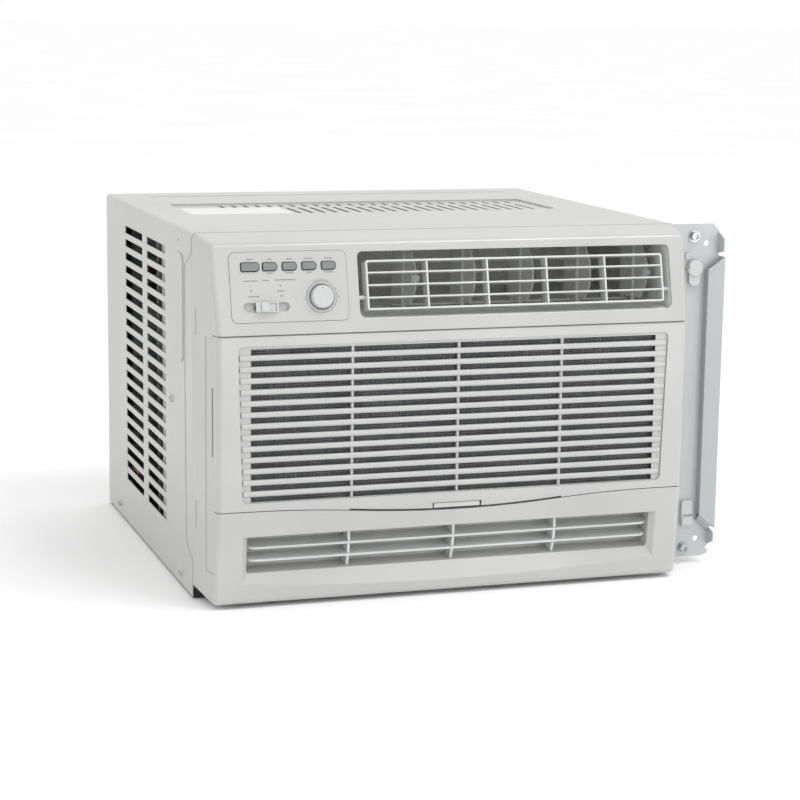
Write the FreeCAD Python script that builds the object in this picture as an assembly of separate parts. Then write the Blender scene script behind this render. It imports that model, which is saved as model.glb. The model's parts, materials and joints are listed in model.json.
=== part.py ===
import FreeCAD, Part
import math
import os

V = FreeCAD.Vector
AX, AY, AZ = V(1, 0, 0), V(0, 1, 0), V(0, 0, 1)
SIX_CORNERS = [(math.cos(k * math.pi / 3), math.sin(k * math.pi / 3)) for k in range(6)]

# ---------------------------------------------------------------- driving dimensions, mm
# X runs across the front, Y runs back through the unit, Z is up.
# The origin is on the underside of the base pan, at the middle of the cabinet.
CASE_W, CASE_D, CASE_H = 480.0, 414.0, 342.0
SHEET = 1.0                       # painted steel sheet
PLASTIC = 2.5                     # moulded front wall
HALF_W = CASE_W / 2
FRONT_Y, REAR_Y = -CASE_D / 2, CASE_D / 2
WRAP_Z = 2.0                      # lower edge of the wrap, just clear of the sill

# Front moulding: a profile in Y and Z, drafted sides, upright middle, sloping top and bottom parts.
FACE_Y = FRONT_Y - 58.0
FACE_HALF = 228.7
PANEL_HALF = HALF_W - 0.5
PANEL_Y = FRONT_Y - 0.02
PANEL_TOP, PANEL_FOOT = 341.7, 10.0
SEAM_TOP = 254.8                  # seam above the intake door
SEAM_LOW = 92.9                   # seam below it, at the sides
SEAM_DIP = 8.8                    # how far that seam dips at the middle
SEAM_RUN = 200.0                  # half length of the dipping part
FACE_TOP = (FACE_Y + 19.5, 335.4)
FACE_BOTTOM = (FACE_Y + 11.0, 2.8)
EDGE_R = 5.0

# Upper face: measured up the slope from the top seam.
OUTLET_X, OUTLET_V = (-95.5, 215.0), (11.9, 73.7)
LOUVER_X, LOUVER_V, LOUVER_DEPTH = (-87.9, 207.3), (19.8, 65.5), 14.0
LOUVER_BAYS, LOUVER_ROWS = 5, 4
LOUVER_PIVOT_V, LOUVER_PIVOT_N = 32.0, -7.0
LOUVER_RIM, LOUVER_POST, LOUVER_BAR = 1.7, 1.6, 1.4
PLATE_X, PLATE_V = (-215.4, -106.3), (11.5, 75.1)
BUTTON_X0, BUTTON_PITCH, BUTTON_V = -196.4, 18.3, 61.6
BUTTON_SIZE, OFF_SIZE = (12.8, 6.6), (16.2, 7.3)
BUTTON_OUT, BUTTON_GAP = 2.0, 0.75
KNOB_X, KNOB_V, KNOB_R, KNOB_OUT = -131.1, 33.1, 10.8, 6.0
RING_R, RING_OUT, WELL_R, WELL_DEPTH = 13.9, 1.0, 12.0, 1.8
SLIDER_X, SLIDER_V = -182.7, 25.1
SLOT_LEN, SLOT_H, SLIDER_LEN, SLIDER_H, SLIDER_TRAVEL = 42.3, 8.4, 21.0, 9.4, 9.0
SCOOP_DEPTH, STEM_HALF = 3.0, 1.0

# Lower face: measured from the lower seam, negative downwards.
VENT_HALF, VENT_V = 200.0, (-61.2, -24.8)

# Intake door
DOOR_GAP, FINGER_GAP, FINGER_HALF = 0.7, 1.3, 105.0
DOOR_BACK_Y = FACE_Y + 11.4
DOOR_TOP_R = 3.0
SLOTS, SLOT_TOP_Z, SLOT_PITCH, SLOT_GAP = 14, 241.9, 10.4, 5.1
SLOT_HALF, DISH_HALF_TOP, DISH_HALF_LOW, DISH_DEPTH = 198.2, 210.5, 206.5, 2.2
DISH_Z = (100.9, 244.6)
BAR_PITCH, BAR_W = 102.6, 2.2

# Cabinet louvres
SIDE_ROWS, SIDE_TOP_Z, SIDE_PITCH, SIDE_SLOT_H = 20, 318.0, 13.79, 7.6
SIDE_COLUMNS = ((-94.0, -7.0), (15.0, 103.0))
TOP_DISH, TOP_DISH_DEPTH = (-200.0, 185.0, -40.0, 77.0), 2.0
TOP_SLOT_X0, TOP_SLOT_PITCH, TOP_SLOT_W = -84.5, 12.61, 4.2
SCREW_SPOTS = ((-122.0, 175.0), (142.0, 14.0), (-161.0, 14.0))
PILOT_HOLE = (-152.4, 330.0, 1.2)      # y, z and radius
EMBOSS_Y, EMBOSS_Z = (-173.0, -146.0), (217.0, 319.0)
EMBOSS_OUT, EMBOSS_R = 1.0, 9.0

# Machine inside
FAN_X, FAN_Z = 20.0, 150.0
SHAFT_R, RUN_FIT = 4.0, 0.06
BLOWER_R, BLOWER_Y, BLOWER_BLADES = 85.0, (-130.0, -62.0), 30
SCROLL_Y = (-140.0, -50.0)
BULKHEAD_Y = -48.0
FAN_R, FAN_Y, FAN_BLADES = 125.0, (118.0, 144.0), 5
MOTOR_R, MOTOR_Y = 40.0, (14.0, 68.0)
COMP_X, COMP_Y, COMP_R, COMP_Z, COMP_WALL = -150.0, 55.0, 58.0, (40.0, 235.0), 5.0
EVAP_HALF, EVAP_Y, EVAP_Z = 212.0, (-229.0, -195.0), (30.0, 243.0)
COND_HALF, COND_Y, COND_Z = 220.0, (166.0, 203.0), (27.0, 330.0)
FIN_PITCH, FIN_T, END_PLATE, TUBE_R, TUBE_PITCH = 3.0, 0.4, 1.5, 3.6, 25.4
ACCUMULATOR = (-66.0, 92.0, 80.0)
PIPE_X, SUCTION_Y, SUCTION_Z, SUCTION_R = -229.0, -200.0, 255.0, 4.0
CAPILLARY_R, LIQUID_Z = 1.4, 60.0
DUCT_WALL = 2.0
DUCT_Z = (266.4, 326.4)
VANES, VANE_X0, VANE_PITCH, VANE_Y = 5, -36.0, 58.75, -205.0
VANE_Z, VANE_CHORD, VANE_T, VANE_REST_DEG = (271.0, 322.0), 20.0, 1.6, 15.0
TIE_ARM, TIE_Z = 14.0, (267.6, 269.6)
DAMPER_X, DAMPER_Z, DAMPER_PIN_Z, DAMPER_REST_DEG = (-215.0, -145.0), (275.0, 318.0), 321.5, 20.0

# Side mounting frame, on the right only
FRAME_X, FRAME_Z = (HALF_W + 0.2, 289.0), (6.5, 341.0)
FRAME_HOLE_X, FRAME_HOLE_Z, FRAME_HOLE_R = 275.5, (24.6, 322.0), 2.75
FRAME_SCREW_X, FRAME_SCREW_Z = 261.8, (16.0, 329.0)
CHANNEL_X, CHANNEL_DEPTH = (274.5, 292.0), 9.0
LATCH_X, LATCH_Z, LATCH_R, LATCH_REACH, LATCH_PIN_R = 262.5, 298.0, 8.2, 17.6, 3.0
BOSS_X, BOSS_Z, BOSS_R = 256.0, 309.8, 3.6
DRAIN_X, DRAIN_Y, DRAIN_R, DRAIN_LEN = 150.0, 120.0, 7.0, 9.0
CORD_Y, CORD_Z, CORD_R = -140.0, 40.0, 4.75


# ---------------------------------------------------------------- helpers
def box(x, y, z):
    return Part.makeBox(x[1] - x[0], y[1] - y[0], z[1] - z[0], V(x[0], y[0], z[0]))


def cyl(at, axis, r, length):
    return Part.makeCylinder(r, length, V(*at), axis)


def fuse(shapes):
    return shapes[0].multiFuse(shapes[1:]).removeSplitter() if len(shapes) > 1 else shapes[0]


def cut(shape, tools):
    return shape.cut(Part.makeCompound(tools)) if tools else shape


def mirrored(shape):
    return shape.mirror(V(0, 0, 0), AX)


def rounded(points, radii):
    """A closed wire through 3-D points, with an arc of the given radius at each corner."""
    ends = []
    count = len(points)
    for i, p in enumerate(points):
        r = radii[i] if isinstance(radii, (list, tuple)) else radii
        a, b = points[i - 1] - p, points[(i + 1) % count] - p
        a.normalize()
        b.normalize()
        if r <= 0:
            ends.append((p, p, p))
            continue
        half = math.acos(max(-1.0, min(1.0, a.dot(b)))) / 2
        back = r / math.tan(half)
        middle = a + b
        middle.normalize()
        ends.append((p + a * back, p + middle * (r / math.sin(half) - r), p + b * back))
    edges = []
    for i, (start, mid, end) in enumerate(ends):
        if (end - start).Length > 1e-6:
            edges.append(Part.Arc(start, mid, end).toShape())
        following = ends[(i + 1) % count][0]
        if (following - end).Length > 1e-6:
            edges.append(Part.LineSegment(end, following).toShape())
    return Part.Wire(edges)


def prism(points, radii, along):
    return Part.Face(rounded(points, radii)).extrude(along)


def slab(x, v, n, r=0.0):
    """A rounded rectangle in X and V, thick along N, in a face's own coordinates."""
    corners = [V(x[0], v[0], n[0]), V(x[1], v[0], n[0]), V(x[1], v[1], n[0]), V(x[0], v[1], n[0])]
    return prism(corners, r, V(0, 0, n[1] - n[0]))


def grown(span, by):
    """A span made longer at both ends."""
    return (span[0] - by, span[1] + by)


def face_placement(low, high):
    """Placement that carries (x, v, n) onto the sloping face from low to high, given as (y, z)."""
    angle = math.degrees(math.atan2(high[1] - low[1], high[0] - low[0]))
    return FreeCAD.Placement(V(0, low[0], low[1]), FreeCAD.Rotation(AX, angle))


UPPER = face_placement((FACE_Y, SEAM_TOP), FACE_TOP)
LOWER = FreeCAD.Placement(V(0, FACE_Y, SEAM_LOW),
                          face_placement(FACE_BOTTOM, (FACE_Y, SEAM_LOW)).Rotation)


def placed(shape, placement):
    moved = shape.copy()
    moved.Placement = placement.multiply(moved.Placement)
    return moved


def tube(points, r, bend):
    """A round tube along straight runs joined by arcs."""
    pts = [V(*p) for p in points]
    edges = []
    last = pts[0]
    for i in range(1, len(pts) - 1):
        a, b = pts[i - 1] - pts[i], pts[i + 1] - pts[i]
        a.normalize()
        b.normalize()
        half = math.acos(a.dot(b)) / 2
        back = bend / math.tan(half)
        middle = a + b
        middle.normalize()
        start, end = pts[i] + a * back, pts[i] + b * back
        edges.append(Part.LineSegment(last, start).toShape())
        edges.append(Part.Arc(start, pts[i] + middle * (bend / math.sin(half) - bend), end).toShape())
        last = end
    edges.append(Part.LineSegment(last, pts[-1]).toShape())
    path = Part.Wire(edges)
    ring = Part.Wire([Part.Circle(pts[0], pts[1] - pts[0], r).toShape()])
    return path.makePipeShell([ring], True, False)


def fillet_where(shape, radius, test):
    """Rounds the edges whose centre passes the test."""
    edges = [e for e in shape.Edges if test(e)]
    return shape.makeFillet(radius, edges) if edges else shape


def save(name, shape):
    shape = shape.removeSplitter() if shape.ShapeType != "Compound" else shape
    if not shape.isValid():
        print("INVALID", name)
    shape.exportStep("parts/" + name + ".step")
    print("%-22s solids %2d volume %.0f" % (name, len(shape.Solids), shape.Volume))


# ---------------------------------------------------------------- front moulding
def moulding_form():
    """The front's solid outer form, before its side edges are rounded."""
    back = PANEL_Y
    outline = [(back, PANEL_TOP), FACE_TOP, (FACE_Y, SEAM_TOP),
               (FACE_Y, SEAM_LOW), FACE_BOTTOM, (back, PANEL_FOOT)]
    points = [V(-260, y, z) for y, z in outline]
    radii = [0, 6, 12, 25, 6, 0]
    wire = rounded(points, radii)
    solid = Part.Face(wire).extrude(V(520, 0, 0))
    draft = math.atan2(PANEL_HALF - FACE_HALF, PANEL_Y - FACE_Y)
    for side in (-1, 1):
        wedge = Part.Face(Part.makePolygon([
            V(side * FACE_HALF, FACE_Y, -10), V(side * PANEL_HALF, PANEL_Y, -10),
            V(side * (PANEL_HALF + 60 * math.tan(draft)), PANEL_Y + 60, -10),
            V(side * 300, PANEL_Y + 60, -10), V(side * 300, FACE_Y - 40, -10),
            V(side * (FACE_HALF - 40 * math.tan(draft)), FACE_Y - 40, -10),
            V(side * FACE_HALF, FACE_Y, -10)])).extrude(V(0, 0, 380))
        solid = solid.cut(wedge)
    return solid


def moulding_outer():
    solid = moulding_form()

    def front_side(edge):
        c = edge.CenterOfMass
        low, high = edge.BoundBox.YMin, edge.BoundBox.YMax
        on_side = abs(c.x) > FACE_HALF - 12 and edge.BoundBox.XLength < 8
        return on_side and high < PANEL_Y - 30 and low > FACE_Y - 1
    return fillet_where(solid, EDGE_R, front_side)


def moulding_inner():
    """Cavity of the moulding: each wall moved in by the wall thickness."""
    t = PLASTIC
    back = PANEL_Y + 5
    outline = [(back, PANEL_TOP - t), (FACE_TOP[0] + t * 0.8, FACE_TOP[1] - t),
               (FACE_Y + t, SEAM_TOP - 0.3),
               (FACE_Y + t, SEAM_LOW), (FACE_BOTTOM[0] + t, FACE_BOTTOM[1] + t), (back, PANEL_FOOT + t)]
    wire = rounded([V(-260, y, z) for y, z in outline], [0, 4, 10, 22, 4, 0])
    solid = Part.Face(wire).extrude(V(520, 0, 0))
    draft = math.atan2(PANEL_HALF - FACE_HALF, PANEL_Y - FACE_Y)
    for side in (-1, 1):
        shift = t / math.cos(draft)
        near, far = FACE_HALF - shift, PANEL_HALF - shift
        wedge = Part.Face(Part.makePolygon([
            V(side * near, FACE_Y, -10), V(side * far, PANEL_Y, -10),
            V(side * (far + 60 * math.tan(draft)), PANEL_Y + 60, -10),
            V(side * 300, PANEL_Y + 60, -10), V(side * 300, FACE_Y, -10),
            V(side * near, FACE_Y, -10)])).extrude(V(0, 0, 380))
        solid = solid.cut(wedge)
    return solid


def door_zone(gap, back_y, top_z, front_y=FACE_Y - 5):
    """Prism of the intake door's outline; gap is taken off its dipping lower edge."""
    low, half = SEAM_LOW + gap, SEAM_RUN / 2
    dip = SEAM_DIP / 2
    radius = (half ** 2 + dip ** 2) / (2 * dip)
    sag = radius - math.sqrt(radius ** 2 - (half / 2) ** 2)

    def at(x, z):
        return V(x, front_y, z)
    ends = [at(-SEAM_RUN, low), at(-half, low - dip), at(half, low - dip), at(SEAM_RUN, low)]
    edges = [
        Part.LineSegment(at(-250, low), ends[0]).toShape(),
        Part.Arc(ends[0], at(-1.5 * half, low - sag), ends[1]).toShape(),
        Part.Arc(ends[1], at(0, low - 2 * dip), ends[2]).toShape(),
        Part.Arc(ends[2], at(1.5 * half, low - sag), ends[3]).toShape(),
        Part.LineSegment(ends[3], at(250, low)).toShape(),
        Part.LineSegment(at(250, low), at(250, top_z)).toShape(),
        Part.LineSegment(at(250, top_z), at(-250, top_z)).toShape(),
        Part.LineSegment(at(-250, top_z), at(-250, low)).toShape(),
    ]
    return Part.Face(Part.Wire(edges)).extrude(V(0, back_y - front_y, 0))


def side_pocket(y, z, depth):
    """Tool that sinks a shallow pocket into the drafted side, for both sides."""
    slope = (PANEL_HALF - FACE_HALF) / (PANEL_Y - FACE_Y)

    def wall(y_at):
        return PANEL_HALF + (y_at - PANEL_Y) * slope
    tool = Part.Face(Part.makePolygon([
        V(wall(y[0]) - depth, y[0], z[0]), V(wall(y[1]) - depth, y[1], z[0]),
        V(wall(y[1]) + 6, y[1], z[0]), V(wall(y[0]) + 6, y[0], z[0]),
        V(wall(y[0]) - depth, y[0], z[0])])).extrude(V(0, 0, z[1] - z[0]))
    return [tool, mirrored(tool)]


def vent_scoop(grow, depth):
    """Flared mouth round the lower vent: wide with a curved lower lip at the face, narrow behind."""
    low, high = VENT_V[0] - grow, VENT_V[1] + grow
    half = VENT_HALF + grow

    def mouth(n, lip, side, drop):
        a, b = V(-half - side, high + lip, n), V(half + side, high + lip, n)
        c, d = V(half + side, low - drop[0], n), V(-half - side, low - drop[0], n)
        return Part.Wire([
            Part.LineSegment(a, b).toShape(), Part.LineSegment(b, c).toShape(),
            Part.Arc(c, V(0, low - drop[1], n), d).toShape(), Part.LineSegment(d, a).toShape()])
    wide, narrow = mouth(0.6, 0.8, 5.6, (9.2, 19.6)), mouth(-depth, 0.0, 0.0, (0.0, 0.02))
    return Part.makeLoft([wide, narrow], True, True)


def front_frame(outer, inner):
    shell = outer.cut(inner)
    door = door_zone(0, DOOR_BACK_Y + 0.8, SEAM_TOP)
    stop_y = (DOOR_BACK_Y + 0.8, DOOR_BACK_Y + 3.0)
    stop = outer.common(box((-250, 250), stop_y, (78, SEAM_TOP + 2.2)))
    shelf = door_zone(-2.2, stop_y[1], SEAM_TOP + 2.2, FACE_Y).cut(door_zone(0, stop_y[1] + 1, SEAM_TOP))
    shelf = shelf.common(outer)
    backing = placed(vent_scoop(2.2, 7.0), LOWER).common(outer)
    ledge = slab(grown(PLATE_X, 3), (PLATE_V[0] - 3, PLATE_V[1] + 2.4), (-4.6, -2.0), 6)
    ledge = ledge.cut(slab(grown(PLATE_X, -4), grown(PLATE_V, -4), (-5, 0), 3))
    body = shell.cut(door).multiFuse([stop, shelf, backing, placed(ledge, UPPER)])
    gap = 0.25
    tools = [
        placed(slab(grown(PLATE_X, gap), grown(PLATE_V, gap), (-2.4, 5), 6.2), UPPER),
        placed(slab(grown(PLATE_X, -4), grown(PLATE_V, -4), (-9, 0), 3), UPPER),
        placed(slab(OUTLET_X, OUTLET_V, (-9, 5), [8, 8, 5, 5]), UPPER),
        placed(vent_scoop(0, 5.0), LOWER),
        placed(slab((-VENT_HALF, VENT_HALF), VENT_V, (-12, 0), 3), LOWER),
        box((-205, 205), (stop_y[0] - 1, stop_y[1] + 1), (100.0, 247.0)),
        door_zone(0, DOOR_BACK_Y + 0.8, SEAM_TOP),
    ]
    tools += side_pocket((-256.5, -236.5), (34.0, 251.5), 0.6)
    tools += side_pocket((DOOR_BACK_Y + 0.5, DOOR_BACK_Y + 4.6), (143.0, 206.0), 6.0)
    body = cut(body, tools)
    tabs = []
    for side in (-1, 1):
        for z in (70.0, 250.0):
            x = sorted((side * (HALF_W - 3.4), side * (HALF_W - 1.2)))
            tabs.append(box(x, (PANEL_Y - 8, FRONT_Y + 9), (z, z + 24)))
    for x in (-120.0, 120.0):
        tabs.append(box((x - 14, x + 14), (PANEL_Y - 8, FRONT_Y + 9), (CASE_H - 5.4, CASE_H - 3.2)))
    return body.multiFuse(tabs).removeSplitter()


def intake_door(outer):
    """Hinged intake door: a shallow tray whose face is a dished grille of long slats."""
    zone = door_zone(DOOR_GAP, DOOR_BACK_Y, SEAM_TOP - 0.6)
    solid = outer.common(zone)
    top = SEAM_TOP - 0.6
    corner = box((-250, 250), (FACE_Y - 5, FACE_Y + DOOR_TOP_R), (top - DOOR_TOP_R, top + 5))
    roll = cyl((-250, FACE_Y + DOOR_TOP_R, top - DOOR_TOP_R), AX, DOOR_TOP_R, 500)
    solid = solid.cut(corner.cut(roll))
    t = PLASTIC
    hollow = door_zone(DOOR_GAP + t, DOOR_BACK_Y + 1, top - t, FACE_Y + t)
    narrow = FACE_HALF - 1.6 - t
    solid = solid.cut(hollow.common(box((-narrow, narrow), (FACE_Y, DOOR_BACK_Y + 1), (60, 300))))
    raised = door_zone(FINGER_GAP + DOOR_GAP, 0, 300, FACE_Y - 6)
    strip = box((-FINGER_HALF, FINGER_HALF), (FACE_Y - 6, 0), (60, 100)).cut(raised)
    tab_notch = box((-24.2, 24.2), (FACE_Y - 6, FACE_Y + 6), (80, 91.6))
    dish = prism([V(-DISH_HALF_LOW, FACE_Y - 1, DISH_Z[0]), V(DISH_HALF_LOW, FACE_Y - 1, DISH_Z[0]),
                  V(DISH_HALF_TOP, FACE_Y - 1, DISH_Z[1]), V(-DISH_HALF_TOP, FACE_Y - 1, DISH_Z[1])],
                 5.0, V(0, 1 + DISH_DEPTH, 0))
    solid = cut(solid, [strip, tab_notch, dish])
    slots = []
    for row in range(SLOTS):
        top_z = SLOT_TOP_Z - row * SLOT_PITCH
        for bay in range(4):
            x0 = max(-SLOT_HALF, (bay - 2) * BAR_PITCH + BAR_W / 2)
            x1 = min(SLOT_HALF, (bay - 1) * BAR_PITCH - BAR_W / 2)
            slots.append(box((x0, x1), (FACE_Y - 1, FACE_Y + 8), (top_z - SLOT_GAP, top_z)))
    slats = []
    rise = (DISH_HALF_TOP - DISH_HALF_LOW) / (DISH_Z[1] - DISH_Z[0])
    for row in range(SLOTS - 1):
        high = SLOT_TOP_Z - row * SLOT_PITCH - SLOT_GAP
        low = SLOT_TOP_Z - (row + 1) * SLOT_PITCH
        end = DISH_HALF_LOW + (low - DISH_Z[0]) * rise - 1.2
        section = [V(-end, FACE_Y + 3.4, low), V(-end, FACE_Y + 0.2, low),
                   V(-end, FACE_Y + 0.2, high), V(-end, FACE_Y + 3.4, high)]
        bar = prism(section, [0, 2.0, 2.0, 0], V(2 * end, 0, 0))
        slats.append(bar)
    return cut(solid, slots).multiFuse(slats).removeSplitter()


def door_filter():
    """Air filter frame with its pull tab, and the mesh it carries, both behind the door's slats."""
    y = (FACE_Y + 5.2, FACE_Y + 8.2)
    rim = box((-208, 208), y, (97.5, 246)).cut(box((-203, 203), (y[0] - 1, y[1] + 1), (101, 242.4)))
    ribs = [box((k * BAR_PITCH - 1, k * BAR_PITCH + 1), (y[0], y[0] + 1.2), (100, 243)) for k in (-1, 0, 1)]
    for row in (2, 5, 9):
        middle = SLOT_TOP_Z - row * SLOT_PITCH - SLOT_GAP - (SLOT_PITCH - SLOT_GAP) / 2
        ribs.append(box((-204, 204), (y[0], y[0] + 1.2), (middle - 1, middle + 1)))
    tab = box((-22.6, 22.6), (FACE_Y + 1.0, FACE_Y + 3.0), (86.6, 91.0))
    neck = box((-20, 20), (FACE_Y + 2.9, y[1]), (89.0, 91.0))
    riser = box((-20, 20), (y[0], y[1]), (91.0, 97.6))
    frame = fuse([rim] + ribs + [tab, neck, riser])
    mesh = box((-202.9, 202.9), (y[1] - 1.2, y[1] - 0.7), (101.1, 242.3))
    return frame, mesh


def lower_grille():
    """Fixed insert of the lower vent: two long blades on three upright ribs."""
    blades = []
    for v in (-36.9, -49.1):
        half, back = VENT_HALF - 0.5, -25.0
        outline = [V(-half, v - 1, back), V(half, v - 1, back), V(half, v - 1, -4.5), V(-half, v - 1, -4.5)]
        blades.append(prism(outline, [0, 0, 9, 9], V(0, 2.0, 0)))
    ribs = []
    for x in (-BAR_PITCH, 0, BAR_PITCH):
        low, high = VENT_V[0] + 0.05, VENT_V[1] - 0.05
        edges = [Part.LineSegment(V(x - 1.2, low, -25), V(x - 1.2, low, -9)).toShape(),
                 Part.Arc(V(x - 1.2, low, -9), V(x - 1.2, -40, -5.6), V(x - 1.2, high, -7)).toShape(),
                 Part.LineSegment(V(x - 1.2, high, -7), V(x - 1.2, high, -25)).toShape(),
                 Part.LineSegment(V(x - 1.2, high, -25), V(x - 1.2, low, -25)).toShape()]
        ribs.append(Part.Face(Part.Wire(edges)).extrude(V(2.4, 0, 0)))
    return placed(fuse(blades + ribs), LOWER)


def lower_duct():
    """Grey box behind the lower vent, closed at the back."""
    half = VENT_HALF + 2
    outer = slab((-half, half), (VENT_V[0] - 2, VENT_V[1] + 2), (-27.2, -7.2), 0)
    inner = slab((-half + 1.8, half - 1.8), (VENT_V[0] - 0.2, VENT_V[1] + 0.2), (-25.3, 0), 0)
    return placed(outer.cut(inner), LOWER)


# ---------------------------------------------------------------- controls
def button_sizes():
    for i in range(5):
        size = OFF_SIZE if i == 0 else BUTTON_SIZE
        yield BUTTON_X0 + i * BUTTON_PITCH, size


def control_plate():
    """Recessed plate with a well and ring for the knob and a scooped slot for the slider."""
    plate = slab(PLATE_X, PLATE_V, (-2.2, 0.3), 6)
    ring = Part.makeCone(RING_R, RING_R - 0.6, RING_OUT, V(KNOB_X, KNOB_V, 0))
    half, run = SLOT_LEN / 2, SLIDER_TRAVEL + STEM_HALF + 0.45
    slot_v = grown((SLIDER_V, SLIDER_V), SLOT_H / 2)
    pocket_n = (-SCOOP_DEPTH - 1.4, -2.0)
    pocket = slab(grown((SLIDER_X, SLIDER_X), half + 1.5), grown(slot_v, 1.5), pocket_n, 4)
    well = cyl((KNOB_X, KNOB_V, -WELL_DEPTH - 1.0), AZ, WELL_R + 1.5, 1)
    plate = plate.multiFuse([ring, pocket, well])
    tools = [
        cyl((KNOB_X, KNOB_V, -WELL_DEPTH), AZ, WELL_R, 5),
        cyl((KNOB_X, KNOB_V, -5), AZ, SHAFT_R, 10),
        slab(grown((SLIDER_X, SLIDER_X), run), grown((SLIDER_V, SLIDER_V), 1.8), (-6, 5), 0.3),
    ]
    for x, (w, h) in button_sizes():
        across = grown((x, x), w / 2 + BUTTON_GAP)
        upright = grown((BUTTON_V, BUTTON_V), h / 2 + BUTTON_GAP)
        tools.append(slab(across, upright, (-5, 5), [1.9, 3.6, 3.6, 1.9]))
    straight = half - SLOT_H / 2
    left = SLIDER_X - straight
    section = [V(left, slot_v[0], 1), V(left, slot_v[0], -0.5), V(left, slot_v[0] + 4, -SCOOP_DEPTH),
               V(left, slot_v[1], -SCOOP_DEPTH), V(left, slot_v[1], 1)]
    tools.append(prism(section, [0, 0, 2, 0.6, 0], V(2 * straight, 0, 0)))
    for side in (-1, 1):
        x = SLIDER_X + side * straight
        bowl = Part.makeSphere(SLOT_H / 2 + 0.2, V(x, SLIDER_V + 0.2, 0.4)).common(
            box((x - 9, x + 9), (slot_v[0] - 3, slot_v[1]), (-SCOOP_DEPTH, 3)))
        tools.append(bowl)
    return placed(cut(plate, tools), UPPER)


def button(x, size):
    """Push button with a squared left end and a rounder right end."""
    across, upright = grown((x, x), size[0] / 2), grown((BUTTON_V, BUTTON_V), size[1] / 2)
    cap = slab(across, upright, (-3.0, BUTTON_OUT), [1.2, 3.0, 3.0, 1.2])
    cap = fillet_where(cap, 0.7, lambda e: e.CenterOfMass.z > BUTTON_OUT - 0.01)
    stem = box((x - 3, x + 3), (BUTTON_V - 2, BUTTON_V + 2), (-12, -3))
    return placed(cap.fuse(stem), UPPER)


def knob():
    """Low dial that stands in its well, with a grip bar dished into its face and a small pointer."""
    low = 0.6 - WELL_DEPTH
    cap = Part.makeCone(KNOB_R, KNOB_R - 0.5, KNOB_OUT - low, V(KNOB_X, KNOB_V, low))
    cap = fillet_where(cap, 1.5, lambda e: e.CenterOfMass.z > KNOB_OUT - 0.1)
    dish = Part.makeSphere(40.0, V(KNOB_X, KNOB_V, KNOB_OUT + 39.2))
    mark = box((KNOB_X - 0.4, KNOB_X + 0.4), (KNOB_V + 6.5, KNOB_V + 9.2), (KNOB_OUT - 0.5, KNOB_OUT + 1))
    shaft = cyl((KNOB_X, KNOB_V, -22), AZ, 3.0, 23)
    return placed(cut(cap, [dish, mark]).fuse(shaft), UPPER)


def slider():
    """Slide cap with a raised thumb ridge on its left and a dished right half."""
    x, v = grown((SLIDER_X, SLIDER_X), SLIDER_LEN / 2), grown((SLIDER_V, SLIDER_V), SLIDER_H / 2)
    cap = slab(x, v, (0.5, 3.0), 1.4)
    ridge = slab((SLIDER_X - 5.6, SLIDER_X + 1.0), grown(v, -0.3), (2.9, 4.8), 1.5)
    dish = slab((SLIDER_X + 1.4, x[1] - 1.8), grown(v, -1.0), (1.8, 6), 0.8)
    stem = box(grown((SLIDER_X, SLIDER_X), STEM_HALF), (SLIDER_V - 1.4, SLIDER_V + 1.4), (-10, 0.7))
    return placed(fuse([cap, ridge, stem]).cut(dish), UPPER)


def selector_switch():
    body = slab((-208, -113), (BUTTON_V - 9, BUTTON_V + 6), (-42, -16.5), 0)
    lugs = [box((x - 1, x + 1), (BUTTON_V - 6, BUTTON_V - 2), (-48, -42)) for x in (-195, -175, -155, -135)]
    return placed(fuse([body] + lugs), UPPER)


def thermostat():
    body = slab((KNOB_X - 19, KNOB_X + 19), (KNOB_V - 16, KNOB_V + 15), (-40, -16), 0)
    boss = cyl((KNOB_X, KNOB_V, -16), AZ, 6, 4)
    bore = cyl((KNOB_X, KNOB_V, -24), AZ, 3.0 + RUN_FIT, 20)
    return placed(fuse([body, boss]).cut(bore), UPPER)


def control_box():
    outer = box((-222, -100.5), (-206, -110), (262, 330))
    inner = box((-221, -101.5), (-207, -111), (263, 329))
    return outer.cut(inner)


def capacitor():
    can = cyl((-200, -165, 263.2), AZ, 17.5, 58)
    lugs = [box((-206 + k * 9, -203 + k * 9), (-166, -165), (321.0, 327)) for k in (0, 1)]
    return fuse([fillet_where(can, 2.0, lambda e: e.CenterOfMass.z > 320)] + lugs)


# ---------------------------------------------------------------- air outlet
def outlet_duct():
    outer = box((OUTLET_X[0] - DUCT_WALL, OUTLET_X[1] + DUCT_WALL), (FACE_Y, SCROLL_Y[0] - 0.1),
                (DUCT_Z[0] - DUCT_WALL, DUCT_Z[1] + DUCT_WALL))
    inner = box(OUTLET_X, (FACE_Y - 1, SCROLL_Y[0] + 1), DUCT_Z)
    front = placed(box((-250, 250), (-60, 140), (-2.7, 60)), UPPER)
    tools = [inner, front]
    for x in vane_places():
        for z in (DUCT_Z[0] - DUCT_WALL - 1, DUCT_Z[1] - 1):
            tools.append(cyl((x, VANE_Y, z), AZ, 2.0 + RUN_FIT, DUCT_WALL + 2))
    pivot = UPPER.multVec(V(0, LOUVER_PIVOT_V, LOUVER_PIVOT_N))
    tools.append(cyl((OUTLET_X[0] - 5, pivot.y, pivot.z), AX, 2.0 + RUN_FIT, 400))
    return cut(outer, tools)


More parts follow.
